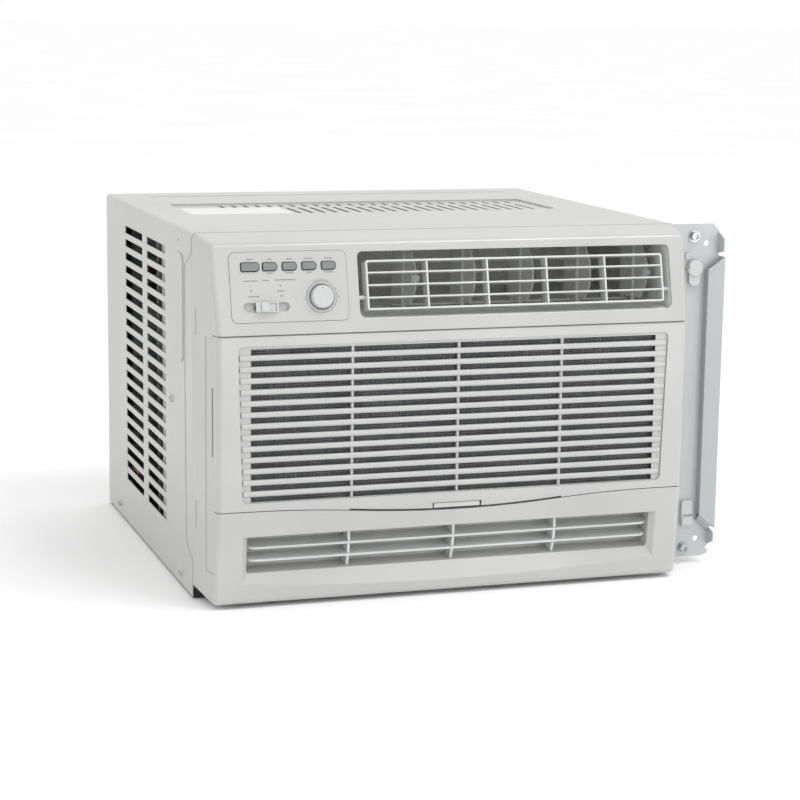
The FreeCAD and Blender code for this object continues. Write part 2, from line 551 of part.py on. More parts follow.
def louver_frame():
    """Tilting outlet grid on two side pins."""
    x, v, n = LOUVER_X, LOUVER_V, (-LOUVER_DEPTH, 0.0)
    rim = slab(x, v, n, 2.5).cut(slab(grown(x, -LOUVER_RIM), grown(v, -LOUVER_RIM), (n[0] - 1, 1), 1.2))
    bars = []
    for k in range(1, LOUVER_BAYS):
        at = x[0] + (x[1] - x[0]) * k / LOUVER_BAYS
        bars.append(box(grown((at, at), LOUVER_POST / 2), (v[0] + 1, v[1] - 1), (n[0], -0.3)))
    for k in range(1, LOUVER_ROWS):
        at = v[0] + (v[1] - v[0]) * k / LOUVER_ROWS
        bars.append(box((x[0] + 1, x[1] - 1), grown((at, at), LOUVER_BAR / 2), (n[0] + 2, -0.1)))
    pins = [cyl((OUTLET_X[0] - 1.8, LOUVER_PIVOT_V, LOUVER_PIVOT_N), AX, 2.0, x[0] - OUTLET_X[0] + 2.3),
            cyl((x[1] - 0.5, LOUVER_PIVOT_V, LOUVER_PIVOT_N), AX, 2.0, OUTLET_X[1] - x[1] + 2.3)]
    return placed(fuse([rim] + bars + pins), UPPER)


def vane_places():
    return [VANE_X0 + i * VANE_PITCH for i in range(VANES)]


def vane(index):
    """Upright leaf-shaped air vane on two pins, with a tie pin behind its pivot."""
    x = vane_places()[index]
    c, t = VANE_CHORD, VANE_T / 2
    z0, z1 = VANE_Z
    mid = (z0 + z1) / 2
    side = [V(-t, -c, mid - 10), V(-t, -c + 8, z0), V(-t, c, z0),
            V(-t, c, z1), V(-t, -c + 8, z1), V(-t, -c, mid + 10)]
    leaf = prism(side, [6, 3, 2, 2, 3, 6], V(2 * t, 0, 0))
    hub = cyl((0, 0, z0), AZ, 2.6, z1 - z0)
    pins = [cyl((0, 0, DUCT_Z[0] - DUCT_WALL + 0.2), AZ, 2.0, z0 - DUCT_Z[0] + DUCT_WALL),
            cyl((0, 0, z1), AZ, 2.0, DUCT_Z[1] - z1 + DUCT_WALL - 0.2),
            cyl((0, TIE_ARM, TIE_Z[0] - 0.4), AZ, 1.5, z0 - TIE_Z[0] + 0.5)]
    parts = [leaf, hub] + pins
    if index in (0, VANES - 1):
        parts.append(cyl((-4.5, -c + 3.5, mid), AX, 4.0, 9))
    shape = fuse(parts)
    shape.rotate(V(0, 0, 0), AZ, VANE_REST_DEG)
    shape.translate(V(x, VANE_Y, 0))
    return shape


def tie_bar():
    turn = math.radians(VANE_REST_DEG)
    dx, dy = -TIE_ARM * math.sin(turn), TIE_ARM * math.cos(turn)
    places = vane_places()
    x0, x1, y = places[0] + dx, places[-1] + dx, VANE_Y + dy
    bar = box((x0 - 4, x1 + 4), (y - 3, y + 3), TIE_Z)
    return cut(bar, [cyl((x + dx, y, TIE_Z[0] - 1), AZ, 1.5 + RUN_FIT, 5) for x in places])


# ---------------------------------------------------------------- cabinet
def side_slab(side, near, far, y, z, r):
    """Upright slab with round corners on one side of the cabinet, from near to far out from the middle."""
    x = side * near
    corners = [V(x, y[0], z[0]), V(x, y[1], z[0]), V(x, y[1], z[1]), V(x, y[0], z[1])]
    return prism(corners, [r] * 4, V(side * (far - near), 0, 0))


def cabinet_wrap():
    outer = prism([V(-HALF_W, FRONT_Y, WRAP_Z), V(HALF_W, FRONT_Y, WRAP_Z), V(HALF_W, FRONT_Y, CASE_H),
                   V(-HALF_W, FRONT_Y, CASE_H)], [0, 0, 4, 4], V(0, CASE_D, 0))
    w, h = HALF_W - SHEET, CASE_H - SHEET
    inner = prism([V(-w, FRONT_Y - 1, WRAP_Z - 1), V(w, FRONT_Y - 1, WRAP_Z - 1), V(w, FRONT_Y - 1, h),
                   V(-w, FRONT_Y - 1, h)], [0, 0, 3, 3], V(0, CASE_D + 2, 0))
    shell = outer.cut(inner)
    x0, x1, y0, y1 = TOP_DISH
    d = TOP_DISH_DEPTH
    pan = slab((x0 - 1, x1 + 1), (y0 - 1, y1 + 1), (CASE_H - d - SHEET, CASE_H - 0.5), 9)
    shell = shell.fuse(pan).cut(slab((x0, x1), (y0, y1), (CASE_H - d, CASE_H + 1), 8))
    tools = [slab((-204, 204), (161.5, 167.5), (CASE_H - 0.5, CASE_H + 1), 2.9)]
    for i in range(21):
        x = TOP_SLOT_X0 + i * TOP_SLOT_PITCH
        tools.append(slab((x - TOP_SLOT_W / 2, x + TOP_SLOT_W / 2), (-29, 38), (CASE_H - 6, CASE_H + 1), 2))
    for i in range(-5, 21):
        x = TOP_SLOT_X0 + i * TOP_SLOT_PITCH
        tools.append(slab((x - TOP_SLOT_W / 2, x + TOP_SLOT_W / 2), (48, 71), (CASE_H - 6, CASE_H + 1), 2))
    tools.append(slab((-150, -141), (-37, -29), (CASE_H - 6, CASE_H + 1), 3.9))
    for row in range(SIDE_ROWS):
        top = SIDE_TOP_Z - row * SIDE_PITCH
        for y in SIDE_COLUMNS:
            tools.append(box((-HALF_W - 5, HALF_W + 5), y, (top - SIDE_SLOT_H, top)))
    for side in (-1, 1):
        x = sorted((side * (HALF_W - 0.5), side * (HALF_W + 2)))
        corners = [V(x[0], FRONT_Y - 1, 36), V(x[0], FRONT_Y + 26, 50), V(x[0], FRONT_Y + 30, 228),
                   V(x[0], FRONT_Y + 30, 309), V(x[0], FRONT_Y - 1, 324)]
        step = prism(corners, [0, 8, 0, 8, 0], V(x[1] - x[0], 0, 0))
        tools.append(step)
    tools += screw_cylinders(1.9)
    y, z, r = PILOT_HOLE
    tools.append(cyl((-HALF_W - 5, y, z), AX, r, CASE_W + 10))
    tools.append(cyl((HALF_W - 3, CORD_Y, CORD_Z), AX, 8.0, 6))
    pressed = []
    for side in (-1, 1):
        outer_x = HALF_W + EMBOSS_OUT
        pressed.append(side_slab(side, HALF_W - 0.5, outer_x, EMBOSS_Y, EMBOSS_Z, EMBOSS_R))
        tools.append(side_slab(side, HALF_W - SHEET - 1, outer_x - SHEET,
                               grown(EMBOSS_Y, -SHEET), grown(EMBOSS_Z, -SHEET), EMBOSS_R - SHEET))
    return cut(shell.multiFuse(pressed), tools)


def screw_cylinders(r):
    """Cylinders through the cabinet sides at every screw."""
    tools = []
    for y, z in SCREW_SPOTS:
        for x in (-HALF_W - 3, HALF_W - 9):
            tools.append(cyl((x, y, z), AX, r, 12))
    return tools


def base_pan():
    wall = HALF_W - SHEET - 0.15
    outer = slab((-wall, wall), (FRONT_Y + 2, REAR_Y - 1.2), (0, 22), 3)
    inner = slab((-wall + 1, wall - 1), (FRONT_Y + 3, REAR_Y - 2.2), (1, 23), 2)
    collar = cyl((DRAIN_X, DRAIN_Y, 0), AZ, DRAIN_R + 1.5, DRAIN_LEN)
    pan = outer.cut(inner).fuse(collar)
    tools = screw_cylinders(1.9) + [cyl((DRAIN_X, DRAIN_Y, -1), AZ, DRAIN_R, DRAIN_LEN + 2)]
    return cut(pan, tools)


def cabinet_screws():
    screws = []
    for y, z in SCREW_SPOTS:
        for side in (-1, 1):
            head = Part.makeCone(4.2, 2.6, 2.4, V(side * HALF_W, y, z), AX * side)
            shank = cyl((side * HALF_W, y, z), AX * (-side), 1.8, 7)
            cross = [box((-9, 9), (y - 2, y + 2), (z - 0.5, z + 0.5)),
                     box((-9, 9), (y - 0.5, y + 0.5), (z - 2, z + 2))]
            for bar in cross:
                bar.translate(V(side * (HALF_W + 1.3 + 9), 0, 0))
            screws.append(cut(head.fuse(shank), cross))
    return Part.makeCompound(screws)


def rear_guard():
    w, low, high = HALF_W - 1.2, 22.3, CASE_H - 1.3
    y = REAR_Y - 1
    plate = prism([V(-w, y, low), V(w, y, low), V(w, y, high), V(-w, y, high)], [0, 0, 4, 4], V(0, 1, 0))
    tools = []
    for row in range(19):
        for column in range(5):
            x = -218 + column * 88.5
            z = 36 + row * 15.6
            tools.append(box((x, x + 82), (REAR_Y - 2, REAR_Y + 1), (z, z + 9.4)))
    return cut(plate, tools)


# ---------------------------------------------------------------- refrigeration
def coil_fins(half, y_open, y_web, z):
    """A comb of fins, open on one side and joined by a thin web on the other."""
    web = y_web + math.copysign(FIN_T, y_open - y_web)
    count = int((2 * half - 2 * END_PLATE - FIN_T) / FIN_PITCH)
    start = -count * FIN_PITCH / 2
    outline = []
    for i in range(count + 1):
        x = start + i * FIN_PITCH
        outline += [V(x - FIN_T / 2, web, z[0]), V(x - FIN_T / 2, y_open, z[0]),
                    V(x + FIN_T / 2, y_open, z[0]), V(x + FIN_T / 2, web, z[0])]
    outline += [V(start + count * FIN_PITCH + FIN_T / 2, y_web, z[0]), V(start - FIN_T / 2, y_web, z[0])]
    return Part.Face(Part.makePolygon(outline + outline[:1])).extrude(V(0, 0, z[1] - z[0]))


def end_plates(half, y, z):
    return Part.makeCompound([box((-half, -half + END_PLATE), y, z), box((half - END_PLATE, half), y, z)])


def return_bends(half, y, z):
    """Return bends of a coil's tubes, outside both end plates."""
    made = []
    for side in (-1, 1):
        low = z[0] + 14 + (0 if side < 0 else TUBE_PITCH / 2)
        while low + TUBE_PITCH / 2 < z[1] - 4:
            centre = V(side * (half + 3), y, low + TUBE_PITCH / 4)
            ring = Part.makeTorus(TUBE_PITCH / 4, TUBE_R, centre, AY, 0, 360, 360)
            keep = box(sorted((centre.x, side * (half + 60))), (y - 20, y + 20), (low - 20, low + 60))
            legs = [cyl((side * half, y, at), AX * side, TUBE_R, 3) for at in (low, low + TUBE_PITCH / 2)]
            made.append(fuse([ring.common(keep)] + legs))
            low += TUBE_PITCH
    return Part.makeCompound(made)


def compressor():
    """Welded steel can on three feet; its wall is thick enough to stand for the pump and motor inside."""
    body = cyl((COMP_X, COMP_Y, COMP_Z[0]), AZ, COMP_R, COMP_Z[1] - COMP_Z[0])
    body = fillet_where(body, 24, lambda e: e.Length > 300)
    arms = [cyl((COMP_X, COMP_Y, 31), AZ, COMP_R - 6, 22)]
    for x, y in feet_places():
        arm = box((-1, 80), (-11, 11), (31, 34))
        arm = fillet_where(arm, 8, lambda e: e.CenterOfMass.x > 79 and abs(e.CenterOfMass.z - 32.5) < 0.1)
        arm.rotate(V(0, 0, 0), AZ, math.degrees(math.atan2(y - COMP_Y, x - COMP_X)))
        arm.translate(V(COMP_X, COMP_Y, 0))
        arms.append(arm)
    cap = cyl((COMP_X + 22, COMP_Y - 14, COMP_Z[1] - 4), AZ, 14, 16)
    tools = [cyl((x, y, 25), AZ, 3.1, 20) for x, y in feet_places()]
    tools.append(cyl((COMP_X, COMP_Y, 30), AZ, COMP_R - COMP_WALL - 6, COMP_Z[1] - COMP_WALL - 30))
    return cut(fuse([body] + arms + [cap]), tools)


def feet_places():
    for deg in (90, 210, 330):
        a = math.radians(deg)
        yield COMP_X + 70 * math.cos(a), COMP_Y + 70 * math.sin(a)


def compressor_grommets():
    made = [cyl((x, y, 1), AZ, 10, 30).cut(cyl((x, y, 0), AZ, 3.1, 40)) for x, y in feet_places()]
    return Part.makeCompound(made)


def compressor_bolts():
    made = []
    for x, y in feet_places():
        hexagon = [V(x + 6 * c, y + 6 * s, 34) for c, s in SIX_CORNERS]
        made.append(cyl((x, y, 1), AZ, 3.0, 40).fuse(prism(hexagon, 0, V(0, 0, 5))))
    return Part.makeCompound(made)


def accumulator():
    x, y, z = ACCUMULATOR
    can = fillet_where(cyl((x, y, z), AZ, 16, 105), 9, lambda e: e.Length > 90)
    inlet = (x + (COMP_X - x) * 0.4, y + (COMP_Y - y) * 0.4, z - 22)
    elbow = tube([(x, y, z), (x, y, z - 22), inlet], SUCTION_R, 12)
    return can.fuse(elbow).cut(cyl((COMP_X, COMP_Y, 0), AZ, COMP_R, 300))


def suction_line():
    x, y, z = ACCUMULATOR
    return tube([(x, y, z + 105), (x, y, SUCTION_Z), (PIPE_X, y, SUCTION_Z), (PIPE_X, SUCTION_Y, SUCTION_Z),
                 (PIPE_X, SUCTION_Y, 150), (-EVAP_HALF, SUCTION_Y, 150)], SUCTION_R, 16)


def discharge_line():
    x, y, z = PIPE_X - 3.5, COND_Y[0] + 7, COMP_Z[1]
    return tube([(COMP_X, COMP_Y, z), (COMP_X, COMP_Y, z + 41), (x, COMP_Y, z + 41), (x, y, z + 41),
                 (x, y, z + 65), (-COND_HALF, y, z + 65)], 3.2, 10)


def liquid_line():
    """Condenser outlet tube with the filter drier in line."""
    y = COND_Y[0] + 7
    pipe = tube([(-COND_HALF, y, LIQUID_Z), (PIPE_X - 1, y, LIQUID_Z), (PIPE_X - 1, 108, LIQUID_Z)], 3.2, 9)
    drier = fillet_where(cyl((PIPE_X - 1, 60, LIQUID_Z), AY, 6.5, 50), 3, lambda e: e.Length > 30)
    return pipe.fuse(drier)


def capillary_tube():
    """Thin tube from the drier, wound round the upright leg of the suction line."""
    coil_r, low, turns, pitch = SUCTION_R + CAPILLARY_R + 0.2, 172.0, 11, 5.0
    helix = Part.makeHelix(pitch, turns * pitch, coil_r)
    slope = pitch / (2 * math.pi * coil_r)
    ring = Part.Wire([Part.Circle(V(coil_r, 0, 0), V(0, 1, slope), CAPILLARY_R).toShape()])
    winding = Part.Wire(helix.Edges).makePipeShell([ring], True, True)
    winding.rotate(V(0, 0, 0), AZ, 180)
    winding.translate(V(PIPE_X, SUCTION_Y, low))
    x = PIPE_X - coil_r
    run = tube([(PIPE_X - 1, 60, LIQUID_Z), (PIPE_X - 1, SUCTION_Y, LIQUID_Z), (x, SUCTION_Y, LIQUID_Z),
                (x, SUCTION_Y, low - CAPILLARY_R - 0.1)], CAPILLARY_R, 2.2)
    return Part.makeCompound([winding, run])


# ---------------------------------------------------------------- air movers
def fan_motor():
    body = cyl((FAN_X, MOTOR_Y[0], FAN_Z), AY, MOTOR_R, MOTOR_Y[1] - MOTOR_Y[0])
    body = fillet_where(body, 9, lambda e: e.Length > 300)
    bosses = [cyl((FAN_X, y, FAN_Z), AY, 22, 13) for y in (MOTOR_Y[0] - 12, MOTOR_Y[1] - 1)]
    bore = cyl((FAN_X, -60, FAN_Z), AY, SHAFT_R + RUN_FIT, 200)
    return fuse([body] + bosses).cut(bore)


def motor_bracket():
    plate = prism([V(FAN_X - 66, MOTOR_Y[0] - 2, 1), V(FAN_X + 66, MOTOR_Y[0] - 2, 1),
                   V(FAN_X + 44, MOTOR_Y[0] - 2, FAN_Z + 52), V(FAN_X - 44, MOTOR_Y[0] - 2, FAN_Z + 52)],
                  [0, 0, 20, 20], V(0, 2, 0))
    foot = box((FAN_X - 66, FAN_X + 66), (MOTOR_Y[0], MOTOR_Y[0] + 50), (1, 3))
    return fuse([plate, foot]).cut(cyl((FAN_X, MOTOR_Y[0] - 3, FAN_Z), AY, 22.1, 4))


def motor_shaft():
    return cyl((FAN_X, BLOWER_Y[0] + 40, FAN_Z), AY, SHAFT_R, FAN_Y[1] + 8 - BLOWER_Y[0] - 40)


def blower_wheel():
    y0, y1 = BLOWER_Y
    disc = cyl((FAN_X, y1 - 2, FAN_Z), AY, BLOWER_R, 2)
    hub = cyl((FAN_X, y1 - 24, FAN_Z), AY, 12, 24)
    ring = cyl((FAN_X, y0, FAN_Z), AY, BLOWER_R, 4).cut(cyl((FAN_X, y0 - 1, FAN_Z), AY, BLOWER_R - 14, 6))
    blades = []
    for k in range(BLOWER_BLADES):
        blade = box((BLOWER_R - 13.5, BLOWER_R - 0.8), (y0 + 3.9, y1 - 1.9), (-0.6, 0.6))
        blade.rotate(V(BLOWER_R - 7, 0, 0), AY, 28)
        blade.rotate(V(0, 0, 0), AY, k * 360.0 / BLOWER_BLADES)
        blade.translate(V(FAN_X, 0, FAN_Z))
        blades.append(blade)
    wheel = disc.multiFuse([hub, ring] + blades)
    return wheel.cut(cyl((FAN_X, y0, FAN_Z), AY, SHAFT_R, y1 - y0 + 1))


def condenser_fan():
    y0, y1 = FAN_Y
    hub = cyl((FAN_X, y0, FAN_Z), AY, 24, y1 - y0)
    limit = cyl((0, y0 + 1, 0), AY, FAN_R + 1, y1 - y0 - 2)
    blades = []
    for k in range(FAN_BLADES):
        blade = Part.makeBox(FAN_R - 18, 1.8, 66, V(20, -0.9, -33))
        blade.rotate(V(0, 0, 0), AX, 62)
        blade.translate(V(0, (y0 + y1) / 2, 0))
        blade = blade.common(limit)
        blade.rotate(V(0, 0, 0), AY, k * 360.0 / FAN_BLADES)
        blade.translate(V(FAN_X, 0, FAN_Z))
        blades.append(blade)
    ring = cyl((FAN_X, y1 - 9, FAN_Z), AY, FAN_R + 4, 9).cut(cyl((FAN_X, y1 - 10, FAN_Z), AY, FAN_R, 12))
    fan = hub.multiFuse(blades + [ring])
    return fan.cut(cyl((FAN_X, y0 - 1, FAN_Z), AY, SHAFT_R, y1 - y0 + 2))


def blower_scroll():
    y0, y1 = SCROLL_Y

    def form(inset, y_from, y_to):
        depth = y_to - y_from
        round_part = cyl((FAN_X, y_from, FAN_Z), AY, 106 - inset, depth)
        throat = box((FAN_X - 84 + inset, FAN_X + 106 - inset), (y_from, y_to), (FAN_Z, 300))
        mouth = box((OUTLET_X[0] - DUCT_WALL + inset, OUTLET_X[1] + DUCT_WALL - inset), (y_from, y_to),
                    (DUCT_Z[0] - DUCT_WALL + inset, DUCT_Z[1] + DUCT_WALL - inset))
        return round_part.multiFuse([throat, mouth])
    shell = form(0, y0, y1).cut(form(DUCT_WALL, y0 + DUCT_WALL, y1 - DUCT_WALL))
    front = box(OUTLET_X, (y0 - 1, y0 + 3), DUCT_Z)
    inlet = cyl((FAN_X, y0 - 1, FAN_Z), AY, 66, 4)
    back = cyl((FAN_X, y1 - 3, FAN_Z), AY, 20, 5)
    return cut(shell, [front, inlet, back])


def fan_shroud():
    y = (150.0, COND_Y[0] - 0.5)
    outer = box((-224, 224), y, (24, 334))
    inner = box((-223, 223), (y[0] + 1, y[1] + 1), (25, 333))
    orifice = cyl((FAN_X, y[0] - 1, FAN_Z), AY, FAN_R + 8, 4)
    return cut(outer, [inner, orifice])


def bulkhead():
    sheet = box((-237.8, 237.8), (BULKHEAD_Y, BULKHEAD_Y + 1), (22.5, CASE_H - 5))
    lugs = []
    for x in (DAMPER_X[0] - 3.2, DAMPER_X[1] + 0.7):
        upright = grown((DAMPER_PIN_Z, DAMPER_PIN_Z), 3.5)
        lugs.append(box((x, x + 2.5), (BULKHEAD_Y + 1, BULKHEAD_Y + 6), upright))
    wall = sheet.multiFuse(lugs)
    tools = [
        cyl((FAN_X, BULKHEAD_Y - 1, FAN_Z), AY, 20, 4),
        box(grown(DAMPER_X, -4), (BULKHEAD_Y - 1, BULKHEAD_Y + 2), (DAMPER_Z[0] + 3, DAMPER_Z[1] - 1)),
        cyl((DAMPER_X[0] - 5, BULKHEAD_Y + 3.2, DAMPER_PIN_Z), AX, 1.5 + RUN_FIT, 90),
        cyl((PIPE_X, BULKHEAD_Y - 1, SUCTION_Z), AY, SUCTION_R + 1.5, 4),
        cyl((PIPE_X - 1, BULKHEAD_Y - 1, LIQUID_Z), AY, CAPILLARY_R + 2, 4),
    ]
    return cut(wall, tools)


def vent_damper():
    """Fresh-air flap on the outdoor side of the bulkhead, drawn half open."""
    y = BULKHEAD_Y + 3.2
    flap = box((DAMPER_X[0], DAMPER_X[1]), (y - 0.75, y + 0.75), (DAMPER_Z[0], DAMPER_PIN_Z))
    pin = cyl((DAMPER_X[0] - 3.0, y, DAMPER_PIN_Z), AX, 1.5, DAMPER_X[1] - DAMPER_X[0] + 6)
    shape = flap.fuse(pin)
    shape.rotate(V(0, y, DAMPER_PIN_Z), AX, DAMPER_REST_DEG)
    return shape


def drain_tray():
    outer = box((-222, 222), (-238, -192), (22.4, 29.9))
    return outer.cut(box((-219, 219), (-235, -195), (25, 31)))


# ---------------------------------------------------------------- side mounting frame
def side_frame():
    x, z, y = FRAME_X, FRAME_Z, FRONT_Y
    outline = [V(x[0], y, z[0]), V(283, y, z[0]), V(x[1], y, z[0] + 2.5), V(x[1], y, z[0] + 5.5),
               V(286, y, z[0] + 8), V(x[1], y, z[0] + 11), V(x[1], y, z[1] - 7), V(282, y, z[1]),
               V(x[0], y, z[1])]
    plate = prism(outline, [0, 1, 1.2, 1.2, 1, 0, 0, 0, 0], V(0, SHEET, 0))
    side = box((x[0], x[0] + SHEET), (y, y + 26), (z[0] + 3, z[1] - 5))
    flanges = []
    for z0, z1, slant in ((312.0, 333.0, 1), (18.0, 36.0, -1)):
        high = z1 if slant > 0 else z1 - 3
        low = z0 + 3 if slant > 0 else z0
        near = x[1] - SHEET
        corners = [V(near, y, z0), V(near, y, z1), V(near, y - 13, high - 6 * (slant > 0)),
                   V(near, y - 13, low + 6 * (slant < 0))]
        flange = prism(corners, [0, 0, 2, 2], V(SHEET, 0, 0))
        flanges.append(flange)
    tools = [cyl((FRAME_HOLE_X, y - 2, at), AY, FRAME_HOLE_R, 5) for at in FRAME_HOLE_Z]
    tools += [cyl((FRAME_SCREW_X, y - 2, at), AY, 2.5, 5) for at in FRAME_SCREW_Z]
    tools.append(cyl((LATCH_X, y - 2, LATCH_Z), AY, LATCH_PIN_R + RUN_FIT, 5))
    boss = cyl((BOSS_X, y - 1.6, BOSS_Z), AY, BOSS_R, 1.7)
    return cut(fuse([plate, side, boss] + flanges), tools)


def side_channel():
    """Upright channel on the frame, its ends cut on the slant, hooked over the frame's outer edge."""
    x, y = CHANNEL_X, FRONT_Y
    front_y = y - CHANNEL_DEPTH
    face = prism([V(x[0], front_y, 51), V(x[1], front_y, 36), V(x[1], front_y, 309), V(x[0], front_y, 297)],
                 0, V(0, CHANNEL_DEPTH + 12, 0))
    inner = box((x[0] + SHEET, x[1] - SHEET), (front_y + SHEET, y + 20), (20, 330))
    keep = box((x[0], x[0] + SHEET), (y, y + 20), (20, 330))
    lip_end = x[1] - 5
    lip_z = 51 - 15 * (lip_end - x[0]) / (x[1] - x[0])
    lip = Part.Face(Part.makePolygon([
        V(x[0], front_y, 51), V(lip_end, front_y, lip_z), V(lip_end, y - 1.5, lip_z - 8),
        V(x[0], y - 1.5, 43), V(x[0], front_y, 51)])).extrude(V(0, 0, 1.5))
    return cut(face, [inner, keep]).fuse(lip)


def swivel_latch():
    y = FRONT_Y
    head = fillet_where(cyl((LATCH_X, y - 5.2, LATCH_Z), AY, LATCH_R, 4.8), 0.8,
                        lambda e: e.CenterOfMass.y < y - 5.1)
    tongue = slab((LATCH_X - 6, LATCH_X + 6), (LATCH_Z - LATCH_REACH, LATCH_Z), (0, 3.2), 5)
    tongue = placed(tongue, FreeCAD.Placement(V(0, y - 0.4, 0), FreeCAD.Rotation(AX, 90)))
    pin = cyl((LATCH_X, y - 0.5, LATCH_Z), AY, LATCH_PIN_R, 3.5)
    rim = LATCH_X - LATCH_R
    notch = box((rim - 1, rim + 1.6), (y - 6, y - 3.6), (LATCH_Z - 0.8, LATCH_Z + 3.2))
    return fuse([head, tongue, pin]).cut(notch)


def lower_clip():
    y = FRONT_Y
    body = slab((257.5, 269.5), (38, 65), (0, 3.8), 3)
    slot = slab((259.0, 269.0), (49.0, 50.6), (2.0, 5), 0.6)
    raised = slab((258.2, 269.2), (40, 48), (3.6, 5.0), 1.5)
    shape = body.cut(slot).fuse(raised)
    return placed(shape, FreeCAD.Placement(V(0, y, 0), FreeCAD.Rotation(AX, 90)))


def frame_screws():
    made = []
    for z in FRAME_SCREW_Z:
        washer = cyl((FRAME_SCREW_X, FRONT_Y - 1.2, z), AY, 6.0, 1.2)
        hexagon = [V(FRAME_SCREW_X + 4.6 * c, FRONT_Y - 4.8, z + 4.6 * s) for c, s in SIX_CORNERS]
        head = prism(hexagon, 0, V(0, 3.7, 0))
        shank = cyl((FRAME_SCREW_X, FRONT_Y - 0.1, z), AY, 2.4, 8)
        made.append(fuse([washer, head, shank]).cut(cyl((FRAME_SCREW_X, FRONT_Y - 5, z), AY, 2.6, 1.6)))
    return Part.makeCompound(made)


def cord_grommet():
    x = HALF_W
    outer = [cyl((x, CORD_Y, CORD_Z), AX, 11, 3), cyl((x - SHEET, CORD_Y, CORD_Z), AX, 8.0, SHEET),
             cyl((x - SHEET - 3, CORD_Y, CORD_Z), AX, 10, 3)]
    return fuse(outer).cut(cyl((x - 10, CORD_Y, CORD_Z), AX, CORD_R, 20))


# ---------------------------------------------------------------- build
def main():
    os.makedirs("parts", exist_ok=True)
    outer, inner = moulding_outer(), moulding_inner()
    save("front_frame", front_frame(outer, inner))
    save("intake_door", intake_door(outer))
    filter_frame, filter_mesh = door_filter()
    save("filter_frame", filter_frame)
    save("filter_mesh", filter_mesh)
    save("lower_grille", lower_grille())
    save("lower_duct", lower_duct())
    save("control_plate", control_plate())
    names = ("off", "fan_low", "fan_high", "cool_low", "cool_high")
    for name, (x, size) in zip(names, button_sizes()):
        save("button_" + name, button(x, size))
    save("thermostat_knob", knob())
    save("vent_slider", slider())
    save("selector_switch", selector_switch())
    save("thermostat", thermostat())
    save("control_box", control_box())
    save("run_capacitor", capacitor())
    save("outlet_duct", outlet_duct())
    save("louver_frame", louver_frame())
    for i in range(VANES):
        save("air_vane_%d" % (i + 1), vane(i))
    save("vane_tie_bar", tie_bar())
    save("cabinet_wrap", cabinet_wrap())
    save("base_pan", base_pan())
    save("cabinet_screws", cabinet_screws())
    save("rear_guard", rear_guard())
    save("evaporator_fins", coil_fins(EVAP_HALF, EVAP_Y[0], EVAP_Y[1], EVAP_Z))
    save("evaporator_end_plates", end_plates(EVAP_HALF, EVAP_Y, EVAP_Z))
    save("evaporator_bends", return_bends(EVAP_HALF, sum(EVAP_Y) / 2, EVAP_Z))
    save("condenser_fins", coil_fins(COND_HALF, COND_Y[1], COND_Y[0], COND_Z))
    save("condenser_end_plates", end_plates(COND_HALF, COND_Y, COND_Z))
    save("condenser_bends", return_bends(COND_HALF, sum(COND_Y) / 2, COND_Z))
    save("compressor", compressor())
    save("compressor_grommets", compressor_grommets())
    save("compressor_bolts", compressor_bolts())
    save("accumulator", accumulator())
    save("suction_line", suction_line())
    save("discharge_line", discharge_line())
    save("liquid_line", liquid_line())
    save("capillary_tube", capillary_tube())
    save("fan_motor", fan_motor())
    save("motor_bracket", motor_bracket())
    save("motor_shaft", motor_shaft())
    save("blower_wheel", blower_wheel())
    save("condenser_fan", condenser_fan())
    save("blower_scroll", blower_scroll())
    save("fan_shroud", fan_shroud())
    save("bulkhead", bulkhead())
    save("vent_damper", vent_damper())
    save("drain_tray", drain_tray())
    save("side_frame", side_frame())
    save("side_channel", side_channel())
    save("swivel_latch", swivel_latch())
    save("lower_clip", lower_clip())
    save("frame_screws", frame_screws())
    save("cord_grommet", cord_grommet())


main()
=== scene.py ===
import json
import math

import bmesh
import bpy
from bpy.props import FloatProperty, FloatVectorProperty, IntProperty, PointerProperty
from mathutils import Euler, Matrix, Quaternion, Vector


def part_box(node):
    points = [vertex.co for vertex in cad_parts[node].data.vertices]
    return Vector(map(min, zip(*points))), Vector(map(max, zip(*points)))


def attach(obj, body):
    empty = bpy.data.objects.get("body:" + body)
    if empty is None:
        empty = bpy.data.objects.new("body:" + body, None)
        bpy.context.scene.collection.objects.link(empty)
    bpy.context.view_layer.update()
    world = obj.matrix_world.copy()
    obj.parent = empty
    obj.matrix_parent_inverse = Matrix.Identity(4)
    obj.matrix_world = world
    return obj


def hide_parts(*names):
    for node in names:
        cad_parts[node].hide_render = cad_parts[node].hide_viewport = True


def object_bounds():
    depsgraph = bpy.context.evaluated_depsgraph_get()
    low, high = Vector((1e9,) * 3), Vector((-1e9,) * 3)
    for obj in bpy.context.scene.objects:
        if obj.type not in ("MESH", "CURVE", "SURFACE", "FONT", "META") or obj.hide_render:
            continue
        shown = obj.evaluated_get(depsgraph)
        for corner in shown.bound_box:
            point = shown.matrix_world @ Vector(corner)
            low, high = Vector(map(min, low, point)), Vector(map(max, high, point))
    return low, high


bl_info = {
    "name": "Window Air Conditioner",
    "version": (1, 0, 0),
    "blender": (4, 5, 0),
    "location": "3D View > Sidebar > Air Conditioner",
    "description": "Finishes, fine pieces and studio for a window air conditioner",
    "category": "Object",
}

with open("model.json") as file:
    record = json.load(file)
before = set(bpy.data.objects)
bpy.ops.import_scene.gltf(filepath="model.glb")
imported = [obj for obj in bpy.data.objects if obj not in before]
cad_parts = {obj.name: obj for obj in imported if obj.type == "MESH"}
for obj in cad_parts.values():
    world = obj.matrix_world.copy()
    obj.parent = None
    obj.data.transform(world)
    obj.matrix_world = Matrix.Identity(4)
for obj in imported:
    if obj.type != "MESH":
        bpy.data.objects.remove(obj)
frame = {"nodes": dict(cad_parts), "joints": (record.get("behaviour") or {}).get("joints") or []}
CAD_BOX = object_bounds()
MM = 0.001

# Strands of the net are a little flatter than wide, so that crossing ones don't share a face.
STRAND_FLATNESS = 0.98

